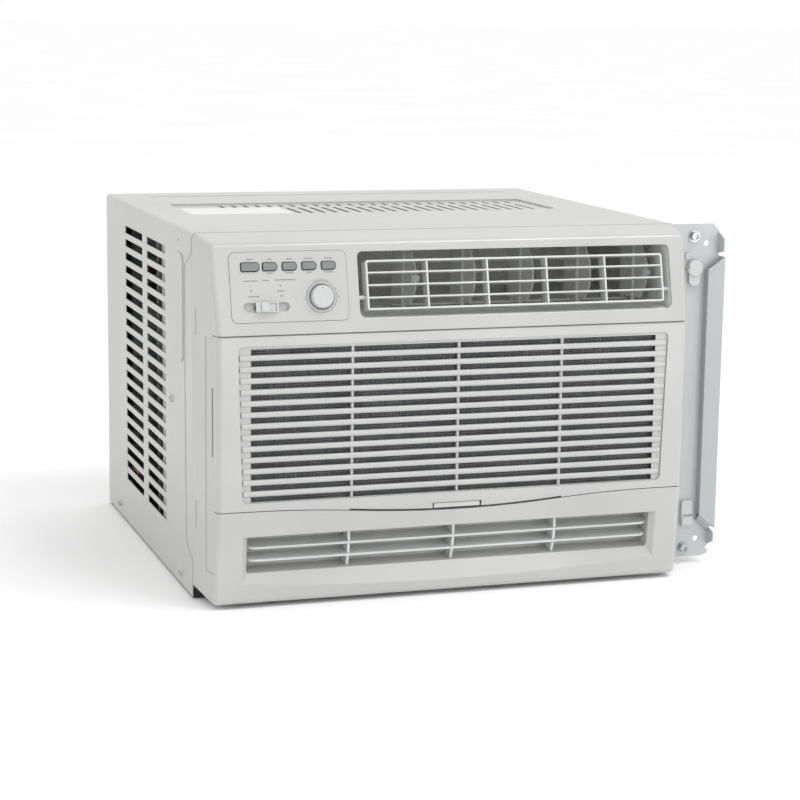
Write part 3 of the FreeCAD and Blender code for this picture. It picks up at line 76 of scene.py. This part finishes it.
# Printed marks, in millimetres on the sloping face. The control plate's face is FACE_OUT_MM out from the
# knob's centre. A row of dashes is (across, up, lengths) and a dot is (across, up, radius).
FACE_OUT_MM = 0.3
DASH_GAP_MM = 0.5
ABOVE_BUTTON_MM, BELOW_BUTTON_MM = 6.2, -6.4
BUTTON_DASHES_MM = {
    "off": ((2.4, 2.4), ()),
    "fan_low": ((1.6, 1.4), (1.6, 1.6, 1.0)),
    "fan_high": ((2.0, 2.2), (1.8, 2.0, 1.6)),
    "cool_low": ((2.4, 2.4, 2.0), (1.8, 2.0)),
    "cool_high": ((1.8, 2.0, 1.6), (1.6, 1.8, 1.6, 1.2)),
}
SLIDER_DASHES_MM = (
    (-13.9, 23.0, (2.2, 1.9, 2.3, 2.0, 2.2)),
    (0.0, 23.2, (1.6, 1.4, 2.2)),
    (17.8, 23.4, (1.8, 2.2, 1.7, 2.3, 1.8, 2.0, 2.1, 1.6)),
    (-11.5, 9.0, (1.5, 1.7, 1.4, 1.5, 1.8)),
    (13.4, 13.4, (1.6, 1.8, 2.0)),
    (14.6, 9.0, (1.6, 1.0)),
)
SLIDER_DOTS_MM = ((-14.4, 18.3, 0.7), (-13.6, 13.9, 1.0), (13.6, 18.2, 0.9))
DIAL_DOT_MM = (16.2, 0.2, 0.7)
# Painted shade: a grey line just outside the knob's raised collar stands for the collar's dark edge; its
# radius and width.
COLLAR_SHADE_RING_MM, COLLAR_SHADE_LINE_MM = 14.4, 0.5
DIAL_SWEEP_DEG = 50.0
DIAL_ENDS_DEG = (-95.0, 62.0)
DIAL_MARK_WIDTH, DIAL_MARK_LENGTH = 0.6, 1.2
ROUND_STEPS = 64

# Foam pads: clear of the cabinet's wall, the fins before them, the bulkhead behind them, and pan and top.
FOAM_WALL_GAP, FOAM_FINS_GAP, FOAM_BULKHEAD_GAP, FOAM_END_GAP = 0.3 * MM, 9 * MM, 25 * MM, 10 * MM
FOAM_CORNER = 0.5 * MM

# Blank plate: its middle, in the shallow dished field of the top.
PLATE_PLACE = (-0.1445, 0.006)
PLATE_FILM, PLATE_CORNER = 0.2 * MM, 4 * MM
DISH_DEPTH = 2.0 * MM

# Studio floor: half its side, how far it lies under the unit, and the size of its faint cloud.
FLOOR_HALF, FLOOR_GAP, FLOOR_CLOUD_MM = 60.0, 0.0005, 600.0


# ---------------------------------------------------------------- places on the object
def joint(name):
    """A joint's entry in the frame."""
    return next(j for j in frame["joints"] if j["name"] == name)


def slope_frame():
    """Matrix from the knob's centre on the sloping face: X across, Y up the slope, Z outward."""
    outward = Vector(joint("knob_turn")["axis"]).normalized()
    across = Vector((1, 0, 0))
    matrix = Matrix((across, outward.cross(across), outward)).transposed().to_4x4()
    matrix.translation = Vector(joint("knob_turn")["pos_m"])
    return matrix


SLOPE = slope_frame()


# ---------------------------------------------------------------- colours and nodes
def linear(code):
    """An sRGB hex code as linear red, green, blue and alpha. A colour of the settings is that already."""
    if not isinstance(code, str):
        return tuple(code)
    channels = [int(code[i:i + 2], 16) / 255 for i in (1, 3, 5)]
    return tuple(c / 12.92 if c <= 0.04045 else ((c + 0.055) / 1.055) ** 2.4 for c in channels) + (1.0,)


def add(tree, kind, settings=None, **links):
    """Adds a node, sets its properties and values, and links its inputs."""
    node = tree.nodes.new(kind)
    for name, value in (settings or {}).items():
        if name in node.inputs:
            node.inputs[name].default_value = value
        else:
            setattr(node, name, value)
    for name, source in links.items():
        tree.links.new(source, node.inputs[name.replace("_", " ")])
    return node


def start_material(name, **values):
    """A material with a Principled shader, values on its sockets, and Object coordinates to read."""
    material = bpy.data.materials.new(name)
    material.use_nodes = True
    tree = material.node_tree
    tree.nodes.clear()
    out = add(tree, "ShaderNodeOutputMaterial")
    shader = add(tree, "ShaderNodeBsdfPrincipled", {k.replace("_", " "): v for k, v in values.items()})
    tree.links.new(shader.outputs["BSDF"], out.inputs["Surface"])
    place = add(tree, "ShaderNodeTexCoord").outputs["Object"]
    return material, tree, shader, place


def ramp(tree, factor, dark, light, low=0.3, high=0.7):
    """Colour from dark to light as factor goes from low to high."""
    node = add(tree, "ShaderNodeValToRGB", None, Fac=factor)
    node.color_ramp.elements[0].position = low
    node.color_ramp.elements[0].color = linear(dark)
    node.color_ramp.elements[1].position = high
    node.color_ramp.elements[1].color = linear(light)
    return node.outputs["Color"]


def bump(tree, shader, height, depth_mm, strength=1.0, edge_mm=0.0):
    """Bump of a real depth in millimetres, over edges softened by edge_mm where that isn't zero."""
    node = add(tree, "ShaderNodeBump", {"Strength": strength, "Distance": depth_mm * MM}, Height=height)
    if edge_mm:
        soft = add(tree, "ShaderNodeBevel", {"samples": 4, "Radius": edge_mm * MM})
        tree.links.new(soft.outputs["Normal"], node.inputs["Normal"])
    tree.links.new(node.outputs["Normal"], shader.inputs["Normal"])


def noise(tree, place, size_mm, detail=2.0, roughness=0.5):
    """Noise whose features are about size_mm across."""
    scale = {"Scale": 1 / (size_mm * MM), "Detail": detail, "Roughness": roughness}
    return add(tree, "ShaderNodeTexNoise", scale, Vector=place).outputs["Fac"]


def spread(tree, factor, low, high):
    """A value that runs from low to high with factor."""
    return add(tree, "ShaderNodeMapRange", {"To Min": low, "To Max": high}, Value=factor).outputs["Result"]


def moulded_plastic(name, dark, light, roughness, edge_mm=0.7):
    """Injection-moulded ABS, polystyrene or polypropylene: an even colour with a faint cloud from flow,
    soft edges where the mould is radiused, and a fine spark texture that breaks up the gloss. The grain
    is drawn at 0.9 mm, about three times its real size, so that it shows."""
    material, tree, shader, place = start_material(name, IOR=1.53)
    tree.links.new(ramp(tree, noise(tree, place, 90.0, 3.0), dark, light), shader.inputs["Base Color"])
    grain = noise(tree, place, 0.9, 3.0, 0.6)
    tree.links.new(spread(tree, grain, roughness - 0.05, roughness + 0.05), shader.inputs["Roughness"])
    bump(tree, shader, grain, 0.02, edge_mm=edge_mm)
    return material


def baked_enamel(name, dark, light, roughness, edge_mm=0.6):
    """Stoved enamel on sheet steel: smooth, with the slight 4 mm orange peel of sprayed paint and
    bends that catch a soft line of light."""
    material, tree, shader, place = start_material(name, IOR=1.5)
    tree.links.new(ramp(tree, noise(tree, place, 120.0), dark, light), shader.inputs["Base Color"])
    peel = noise(tree, place, 4.0, 2.0, 0.4)
    tree.links.new(spread(tree, peel, roughness - 0.04, roughness + 0.04), shader.inputs["Roughness"])
    bump(tree, shader, peel, 0.04, edge_mm=edge_mm)
    return material


def zinc_sheet(name, dark, light):
    """Hot-dip galvanised sheet: flat crystals 9 mm across, each its own grey and gloss."""
    material, tree, shader, place = start_material(name, Metallic=1.0)
    spangle = add(tree, "ShaderNodeTexVoronoi", {"Scale": 1 / (9.0 * MM)}, Vector=place)
    grey = add(tree, "ShaderNodeSeparateColor", None, Color=spangle.outputs["Color"]).outputs["Red"]
    tree.links.new(ramp(tree, grey, dark, light, 0.1, 0.9), shader.inputs["Base Color"])
    tree.links.new(spread(tree, grey, 0.32, 0.5), shader.inputs["Roughness"])
    bump(tree, shader, noise(tree, place, 2.0), 0.02)
    return material


def turned_metal(name, dark, light, roughness):
    """Drawn or turned metal: a 1.2 mm grain in the gloss, and tarnish in 14 mm clouds."""
    material, tree, shader, place = start_material(name, Metallic=1.0)
    streak = noise(tree, place, 1.2, 4.0, 0.6)
    tree.links.new(ramp(tree, noise(tree, place, 14.0, 3.0), dark, light), shader.inputs["Base Color"])
    tree.links.new(spread(tree, streak, roughness - 0.06, roughness + 0.08), shader.inputs["Roughness"])
    bump(tree, shader, streak, 0.01)
    return material


def bead_foam(name):
    """Expanded polystyrene: fused beads about 3 mm across with fine darker joints between them."""
    material, tree, shader, place = start_material(name, Roughness=0.8, IOR=1.5)
    cells = {"feature": "DISTANCE_TO_EDGE", "Scale": 1 / (3.2 * MM)}
    edge = add(tree, "ShaderNodeTexVoronoi", cells, Vector=place).outputs["Distance"]
    tree.links.new(ramp(tree, edge, "#DADAD6", "#F4F4F1", 0.0, 0.12), shader.inputs["Base Color"])
    bump(tree, shader, edge, 0.25, 0.6)
    return material


def cell_foam(name, dark, light):
    """Extruded polyethylene or nitrile foam: dull, with open cut cells about 1.5 mm across."""
    material, tree, shader, place = start_material(name, Roughness=0.85, IOR=1.5)
    cells = add(tree, "ShaderNodeTexVoronoi", {"Scale": 1 / (1.5 * MM)}, Vector=place).outputs["Distance"]
    tree.links.new(ramp(tree, cells, dark, light, 0.1, 0.6), shader.inputs["Base Color"])
    bump(tree, shader, cells, 0.2, 0.8)
    return material


def rubber(name, dark, light):
    """Moulded black rubber: dull, with a dusty bloom that lightens it in patches 6 mm across."""
    material, tree, shader, place = start_material(name, Roughness=0.75, IOR=1.52)
    tree.links.new(ramp(tree, noise(tree, place, 6.0, 4.0), dark, light), shader.inputs["Base Color"])
    bump(tree, shader, noise(tree, place, 0.8, 3.0), 0.04)
    return material


def drawn_strand(name, dark, light):
    """Drawn polypropylene strand: a dull sheen, with lint that lightens it every few centimetres."""
    material, tree, shader, place = start_material(name, Roughness=0.5, IOR=1.49)
    tree.links.new(ramp(tree, noise(tree, place, 25.0, 4.0), dark, light), shader.inputs["Base Color"])
    bump(tree, shader, noise(tree, place, 0.6), 0.03)
    return material


def print_and_shade_ink(name, dark, light):
    """Pad-printed ink: thin, matt, and uneven over about a millimetre where the pad lifted. The same grey
    paints the shade line round the knob's collar.
    """
    material, tree, shader, place = start_material(name, Roughness=0.6, IOR=1.5)
    tree.links.new(ramp(tree, noise(tree, place, 1.2, 3.0), dark, light), shader.inputs["Base Color"])
    return material


def assign(material, *nodes):
    """Gives some CAD pieces one material."""
    for node in nodes:
        mesh = frame["nodes"][node].data
        mesh.materials.clear()
        mesh.materials.append(material)


# ---------------------------------------------------------------- new pieces
def finish_piece(name, shape, material, body):
    """Turns a bmesh into an object at the origin that rides on a body."""
    bmesh.ops.recalc_face_normals(shape, faces=shape.faces)
    mesh = bpy.data.meshes.new(name)
    shape.to_mesh(mesh)
    shape.free()
    mesh.materials.append(material)
    piece = bpy.data.objects.new(name, mesh)
    bpy.context.scene.collection.objects.link(piece)
    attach(piece, body)
    return piece


def add_bar(shape, centre, size, turn=Matrix()):
    """A bar of the given size about a centre, turned by a matrix."""
    place = Matrix.Translation(centre) @ turn @ Matrix.Diagonal((*size, 1.0))
    bmesh.ops.create_cube(shape, size=1.0, matrix=place)


def rounded_bar(centre, size, radius, segments, upright_only=False):
    """A bmesh of one bar with all of its edges rounded, or only the upright ones."""
    shape = bmesh.new()
    add_bar(shape, centre, size)
    edges = [edge for edge in shape.edges if not upright_only or rise(edge) > size[2] / 2]
    bmesh.ops.bevel(shape, geom=edges, offset=radius, offset_type="OFFSET", segments=segments, profile=0.5,
                    affect="EDGES", material=-1)
    return shape


def rise(edge):
    """Difference in height between the ends of an edge."""
    return abs(edge.verts[0].co.z - edge.verts[1].co.z)


def on_slope(x_mm, v_mm, out_mm):
    """Place on the sloping face, in millimetres from the knob's centre."""
    return SLOPE @ Vector((x_mm * MM, v_mm * MM, out_mm * MM))


# ---------------------------------------------------------------- settings
class FinishSettings(bpy.types.PropertyGroup):
    """Finishes of the moulded front and the painted cabinet."""
    front_dark: FloatVectorProperty(name="Front, darker", description="Darker colour of the front's plastic",
                                    subtype="COLOR", size=4, default=linear("#B3B3B2"))
    front_light: FloatVectorProperty(name="Front, lighter", description="Lighter colour of the plastic",
                                     subtype="COLOR", size=4, default=linear("#B9B9B8"))
    cabinet_dark: FloatVectorProperty(name="Cabinet, darker", description="Darker colour of the cabinet",
                                      subtype="COLOR", size=4, default=linear("#B3B4B0"))
    cabinet_light: FloatVectorProperty(name="Cabinet, lighter", description="Lighter colour of the cabinet",
                                       subtype="COLOR", size=4, default=linear("#B8B9B5"))
    plastic_roughness: FloatProperty(name="Plastic roughness", description="Roughness of the moulded front",
                                     default=0.24, min=0.05, max=1.0)
    enamel_roughness: FloatProperty(name="Enamel roughness", description="Roughness of the cabinet's paint",
                                    default=0.34, min=0.05, max=1.0)


class NetSettings(bpy.types.PropertyGroup):
    """Filter net behind the intake door."""
    pitch: FloatProperty(name="Strand pitch", description="Distance from strand to strand", unit="LENGTH",
                         default=1.8 * MM, min=0.5 * MM)
    strand: FloatProperty(name="Strand", description="Thickness of a strand", unit="LENGTH",
                          default=0.55 * MM)


class PrintSettings(bpy.types.PropertyGroup):
    """Printed marks of the controls, and the painted shade line about the knob."""
    stroke: FloatProperty(name="Stroke", description="Width of a printed dash", unit="LENGTH",
                          default=1.2 * MM)
    film: FloatProperty(name="Film", description="Thickness of the ink", unit="LENGTH", default=0.05 * MM)
    dial_marks: IntProperty(name="Dial marks", description="Number of marks above the knob",
                            default=9, min=2)
    dial_radius: FloatProperty(name="Dial radius", description="From the knob's centre to its marks",
                               unit="LENGTH", default=15.6 * MM)


class LinerSettings(bpy.types.PropertyGroup):
    """Foam pads inside the cabinet and the blank plate on its top."""
    foam: FloatProperty(name="Foam", description="Thickness of the foam pads", unit="LENGTH",
                        default=2.2 * MM)
    plate_size: FloatVectorProperty(name="Plate", description="Length and width of the blank plate", size=2,
                                    unit="LENGTH", default=(0.105, 0.078))


class StudioSettings(bpy.types.PropertyGroup):
    """Camera and light of the studio."""
    camera_place: FloatVectorProperty(name="Camera place", description="Where the camera stands",
                                      subtype="TRANSLATION", unit="LENGTH",
                                      default=(-0.6717, -2.1234, 0.5458))
    camera_turn: FloatProperty(name="Turn", description="How far the camera looks to the right",
                               subtype="ANGLE", default=math.radians(18.28))
    camera_drop: FloatProperty(name="Drop", description="How far the camera looks down", subtype="ANGLE",
                               default=math.radians(10.29))
    camera_roll: FloatProperty(name="Roll", description="How far the camera leans", subtype="ANGLE",
                               default=math.radians(0.78))
    lens: FloatProperty(name="Lens", description="Focal length", unit="CAMERA", default=97.47)
    backdrop_light: FloatProperty(name="Sky", description="Strength of the even white light from all round",
                                  default=1.0, min=0.0)
    front_power: FloatProperty(name="Front light", description="Power of the soft light at the front",
                               unit="POWER", default=3.0)
    low_power: FloatProperty(name="Low light", unit="POWER", default=3.6,
                             description="Power of the low light that reaches into the openings")
    strip_power: FloatProperty(name="Strip light", description="Power of the narrow light overhead",
                               unit="POWER", default=24.0)


# ---------------------------------------------------------------- operators
class Finishes(bpy.types.Operator):
    """Gives every CAD piece the finish of its real material, but the duct a paler one as painted light"""
    bl_idname = "airconditioner.finishes"
    bl_label = "Finishes"

    def execute(self, context):
        values = context.scene.air_finish
        gloss = values.plastic_roughness
        buttons = [name for name in frame["nodes"] if name.startswith("button_")]
        vanes = [name for name in frame["nodes"] if name.startswith("air_vane")]

        # Front and controls: one resin in a few shades, with a paler louvre and grey buttons.
        assign(moulded_plastic("moulded ABS front", values.front_dark, values.front_light, gloss),
               "front_frame", "intake_door", "control_plate")
        assign(moulded_plastic("moulded ABS louvre", "#C8CAC9", "#CFD1D0", gloss, edge_mm=0.4),
               "louver_frame", "lower_grille")
        assign(moulded_plastic("moulded grey ABS", "#767878", "#7F8181", 0.4), *buttons)
        assign(moulded_plastic("moulded pale ABS", "#B8BAB9", "#C0C2C1", 0.28),
               "thermostat_knob", "vent_slider", "swivel_latch", "lower_clip", "filter_frame")

        # Air's way: a polystyrene duct coloured far paler than the rest, painted light that keeps its shaded
        # inside bright, and dull black wheels.
        # Near-white duct colour: painted light for the duct's shaded inside.
        assign(moulded_plastic("polystyrene duct with painted light", "#EEEFED", "#F4F5F3", 0.5), "outlet_duct")
        assign(moulded_plastic("moulded polystyrene vane", "#C9CAC8", "#CFD0CE", 0.5),
               "vane_tie_bar", *vanes)
        assign(moulded_plastic("moulded grey polystyrene", "#BEBFBB", "#C6C7C3", 0.55), "lower_duct")
        assign(moulded_plastic("moulded black polypropylene", "#141414", "#1D1D1D", 0.5),
               "selector_switch", "blower_wheel", "condenser_fan")
        assign(drawn_strand("woven polypropylene net", "#66686A", "#85878A"), "filter_mesh")
        assign(bead_foam("expanded polystyrene"), "blower_scroll", "drain_tray")

        # Sheet metal: warm white outside, cooler greys on the side frame, a black pan, and zinc within.
        assign(baked_enamel("stoved white enamel", values.cabinet_dark, values.cabinet_light,
                            values.enamel_roughness), "cabinet_wrap", "rear_guard")
        assign(baked_enamel("stoved blue-grey enamel", "#B4B7B8", "#BABDBE", 0.36), "side_frame")
        assign(baked_enamel("stoved grey enamel", "#A7AAAB", "#ADB0B1", 0.36), "side_channel")
        assign(baked_enamel("black pan enamel", "#1C1C1D", "#262627", 0.5), "base_pan")
        assign(zinc_sheet("galvanised sheet", "#9EA2A4", "#B9BDBE"),
               "control_box", "evaporator_end_plates", "condenser_end_plates", "motor_bracket",
               "fan_shroud", "bulkhead", "vent_damper")

        # Cooling parts: dull aluminium fins, browned copper, and black or grey painted cans.
        assign(turned_metal("zinc-plated steel", "#999C9E", "#B9BCBD", 0.26),
               "cabinet_screws", "frame_screws", "compressor_bolts", "motor_shaft", "thermostat")
        assign(turned_metal("mill aluminium", "#A8ABAF", "#C3C6CA", 0.4),
               "evaporator_fins", "condenser_fins", "run_capacitor")
        assign(turned_metal("tarnished copper tube", "#4A342A", "#6B4B3A", 0.45),
               "evaporator_bends", "condenser_bends", "accumulator", "discharge_line", "liquid_line",
               "capillary_tube")
        assign(cell_foam("black nitrile foam sleeve", "#0D0D0D", "#191919"), "suction_line")
        assign(baked_enamel("black compressor enamel", "#0F0F10", "#171718", 0.35), "compressor")
        assign(baked_enamel("grey motor enamel", "#4E5152", "#5A5D5E", 0.4), "fan_motor")
        assign(rubber("moulded rubber", "#0E0E0E", "#1B1B1B"), "compressor_grommets", "cord_grommet")
        return {"FINISHED"}


class FilterNet(bpy.types.Operator):
    """Weaves the air filter's net from crossing strands"""
    bl_idname = "airconditioner.filter_net"
    bl_label = "Filter net"

    def execute(self, context):
        values = context.scene.air_net
        low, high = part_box("filter_mesh")
        centre, size = (low + high) / 2, high - low
        half = values.strand / 2
        shape = bmesh.new()
        for axis, across, lift in ((0, 2, half), (2, 0, -half)):
            count = int((size[axis] - values.strand) / values.pitch)
            for i in range(count + 1):
                place = Vector((centre.x, low.y + values.strand + lift, centre.z))
                place[axis] += (i - count / 2) * values.pitch
                bar = Vector((values.strand,) * 3)
                bar[across] = size[across]
                bar.y = values.strand * STRAND_FLATNESS
                add_bar(shape, place, bar)
        strand = bpy.data.materials["woven polypropylene net"]
        net = finish_piece("filter_net", shape, strand, "door")
        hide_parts("filter_mesh")
        return {"FINISHED"}


class ControlMarks(bpy.types.Operator):
    """Prints the plain marks of the buttons, the slider and the dial, and draws a painted shade line round
    the knob's collar
    """
    bl_idname = "airconditioner.control_marks"
    bl_label = "Control marks"

    def execute(self, context):
        values = context.scene.air_print
        film, stroke = values.film, values.stroke
        top = FACE_OUT_MM + film / MM / 2
        turn = SLOPE.to_3x3().to_4x4()
        shape = bmesh.new()

        def dashes(x_mm, v_mm, lengths_mm):
            """A row of short dashes centred on a place."""
            at = x_mm - (sum(lengths_mm) + DASH_GAP_MM * (len(lengths_mm) - 1)) / 2
            for length in lengths_mm:
                size = (length * MM, stroke, film)
                add_bar(shape, on_slope(at + length / 2, v_mm, top), size, turn)
                at += length + DASH_GAP_MM

        def dot(x_mm, v_mm, radius_mm):
            """A round printed dot."""
            place = Matrix.Translation(on_slope(x_mm, v_mm, top)) @ turn
            bmesh.ops.create_cone(shape, cap_ends=True, segments=16, radius1=radius_mm * MM,
                                  radius2=radius_mm * MM, depth=film, matrix=place)

        def ring(radius_mm, width_mm):
            """A grey circle just outside the knob's raised collar, painted shade for the collar's dark edge:
            the line's section, spun all the way round.
            """
            inner, outer = radius_mm - width_mm / 2, radius_mm + width_mm / 2
            low, high = FACE_OUT_MM, FACE_OUT_MM + film / MM
            section = ((inner, low), (outer, low), (outer, high), (inner, high))
            verts = [shape.verts.new(on_slope(radius, 0.0, out)) for radius, out in section]
            edges = [shape.edges.new((verts[k - 1], verts[k])) for k in range(len(verts))]
            bmesh.ops.spin(shape, geom=verts + edges, cent=SLOPE.translation, axis=SLOPE.col[2].xyz,
                           angle=2 * math.pi, steps=ROUND_STEPS, use_merge=True)

        def middle_mm(node):
            """Middle of a CAD piece, across and up the slope from the knob's centre."""
            low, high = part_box(node)
            middle = SLOPE.inverted() @ ((low + high) / 2)
            return middle.x / MM, middle.y / MM

        for name, (above, below) in BUTTON_DASHES_MM.items():
            x_mm, v_mm = middle_mm("button_" + name)
            dashes(x_mm, v_mm + ABOVE_BUTTON_MM, above)
            dashes(x_mm, v_mm + BELOW_BUTTON_MM, below)

        x_mm, v_mm = middle_mm("vent_slider")
        for across, up, lengths in SLIDER_DASHES_MM:
            dashes(x_mm + across, v_mm + up, lengths)
        for across, up, radius in SLIDER_DOTS_MM:
            dot(x_mm + across, v_mm + up, radius)

        reach = values.dial_radius / MM
        last = values.dial_marks - 1
        marks = [(i / last - 0.5) * DIAL_SWEEP_DEG for i in range(values.dial_marks)]
        for degrees in (*marks, *DIAL_ENDS_DEG):
            angle = math.radians(degrees)
            size = (stroke * DIAL_MARK_WIDTH, stroke * DIAL_MARK_LENGTH, film)
            place = on_slope(math.sin(angle) * reach, math.cos(angle) * reach, top)
            add_bar(shape, place, size, turn @ Matrix.Rotation(-angle, 4, "Z"))
        dot(*DIAL_DOT_MM)
        # A grey line just outside the knob's raised collar: painted shade for its dark edge.
        ring(COLLAR_SHADE_RING_MM, COLLAR_SHADE_LINE_MM)
        # One grey ink for the printed marks and for the painted shade line about the collar.
        ink = print_and_shade_ink("grey ink and painted shade", "#787C7E", "#8C9092")
        finish_piece("control_marks", shape, ink, "cabinet")
        return {"FINISHED"}


class Liners(bpy.types.Operator):
    """Glues the foam pads inside the cabinet and the blank plate on its top"""
    bl_idname = "airconditioner.liners"
    bl_label = "Foam pads and plate"

    def execute(self, context):
        values = context.scene.air_liner
        low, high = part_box("bulkhead")
        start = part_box("evaporator_fins")[1].y + FOAM_FINS_GAP
        end = low.y - FOAM_BULKHEAD_GAP
        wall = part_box("base_pan")[1].x - FOAM_WALL_GAP - values.foam / 2
        size = (values.foam, end - start, high.z - low.z - 2 * FOAM_END_GAP)
        foam = cell_foam("grey polyethylene foam", "#83817B", "#A09E98")
        for name, side in (("left_foam_pad", -1), ("right_foam_pad", 1)):
            centre = (side * wall, (start + end) / 2, (low.z + high.z) / 2)
            finish_piece(name, rounded_bar(centre, size, FOAM_CORNER, 2), foam, "cabinet")

        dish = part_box("cabinet_wrap")[1].z - DISH_DEPTH
        plate = rounded_bar((*PLATE_PLACE, dish + PLATE_FILM / 2), (*values.plate_size, PLATE_FILM),
                            PLATE_CORNER, 5, upright_only=True)
        coated = baked_enamel("coated aluminium plate", "#D2D3D1", "#D9DAD8", 0.25, edge_mm=0.0)
        finish_piece("blank_plate", plate, coated, "cabinet")
        return {"FINISHED"}


def area_light(name, power, place, target, size):
    """A rectangular light at a place, turned to a target."""
    data = bpy.data.lights.new(name, "AREA")
    data.shape = "RECTANGLE"
    data.size, data.size_y = size
    data.energy = power
    lamp = bpy.data.objects.new(name, data)
    bpy.context.scene.collection.objects.link(lamp)
    lamp.location = place
    lamp.rotation_mode = "QUATERNION"
    lamp.rotation_quaternion = (Vector(target) - Vector(place)).to_track_quat("-Z", "Y")


class Stage(bpy.types.Operator):
    """Makes the pale floor, the soft lights and the camera"""
    bl_idname = "airconditioner.stage"
    bl_label = "Stage"

    def execute(self, context):
        values = context.scene.air_studio
        scene = context.scene
        floor_mesh = bpy.data.meshes.new("floor")
        shape = bmesh.new()
        bmesh.ops.create_grid(shape, x_segments=1, y_segments=1, size=FLOOR_HALF)
        shape.to_mesh(floor_mesh)
        shape.free()
        floor = bpy.data.objects.new("floor", floor_mesh)
        floor.location.z = CAD_BOX[0].z - FLOOR_GAP
        scene.collection.objects.link(floor)
        material, tree, shader, place = start_material("white studio floor", Roughness=0.9)
        cloud = ramp(tree, noise(tree, place, FLOOR_CLOUD_MM), "#FCFCFC", "#FFFFFF")
        tree.links.new(cloud, shader.inputs["Base Color"])
        floor_mesh.materials.append(material)

        world = bpy.data.worlds.new("studio")
        world.use_nodes = True
        back = world.node_tree.nodes["Background"]
        back.inputs["Color"].default_value = (1, 1, 1, 1)
        back.inputs["Strength"].default_value = values.backdrop_light
        scene.world = world
        middle = (CAD_BOX[0] + CAD_BOX[1]) / 2
        lights = (
            ("front", values.front_power, (0.5, -2.5, 1.5), middle, (1.6, 1.2)),
            ("low_front", values.low_power, (0.6, -1.9, 0.1), (0.05, -0.25, 0.2), (1.4, 0.3)),
            ("strip", values.strip_power, (0.95, -1.1, 2.6), (0.1, -0.25, 0.34), (1.5, 0.05)),
        )
        for name, power, light_place, target, size in lights:
            area_light(name, power, light_place, target, size)
        scene.view_settings.view_transform = "Standard"

        camera = bpy.data.objects.new("camera", bpy.data.cameras.new("camera"))
        camera.data.sensor_width = 36.0
        camera.data.lens = values.lens
        camera.location = values.camera_place
        camera.rotation_mode = "QUATERNION"
        aim = Euler((math.pi / 2 - values.camera_drop, 0, -values.camera_turn)).to_quaternion()
        camera.rotation_quaternion = aim @ Quaternion((0, 0, 1), values.camera_roll)
        scene.collection.objects.link(camera)
        scene.camera = camera
        return {"FINISHED"}


class AirConditionerPanel(bpy.types.Panel):
    """Lists the steps that build the air conditioner's looks"""
    bl_idname = "AIRCONDITIONER_PT_panel"
    bl_label = "Air Conditioner"
    bl_space_type = "VIEW_3D"
    bl_region_type = "UI"
    bl_category = "Air Conditioner"

    def draw(self, context):
        for group in SETTINGS:
            settings = getattr(context.scene, group)
            for name in settings.bl_rna.properties.keys():
                if name not in {"rna_type", "name"}:
                    self.layout.prop(settings, name)
        for operator in OPERATORS:
            self.layout.operator(operator.bl_idname)


SETTINGS = {"air_finish": FinishSettings, "air_net": NetSettings, "air_print": PrintSettings,
            "air_liner": LinerSettings, "air_studio": StudioSettings}
OPERATORS = (Finishes, FilterNet, ControlMarks, Liners, Stage)
CLASSES = (*SETTINGS.values(), *OPERATORS, AirConditionerPanel)


def register():
    for cls in CLASSES:
        bpy.utils.register_class(cls)
    for group, cls in SETTINGS.items():
        setattr(bpy.types.Scene, group, PointerProperty(type=cls))


def unregister():
    for group in SETTINGS:
        delattr(bpy.types.Scene, group)
    for cls in reversed(CLASSES):
        bpy.utils.unregister_class(cls)


def main():
    register()
    bpy.ops.airconditioner.finishes()
    bpy.ops.airconditioner.filter_net()
    bpy.ops.airconditioner.control_marks()
    bpy.ops.airconditioner.liners()
    bpy.ops.airconditioner.stage()


if __name__ == "__main__":
    main()
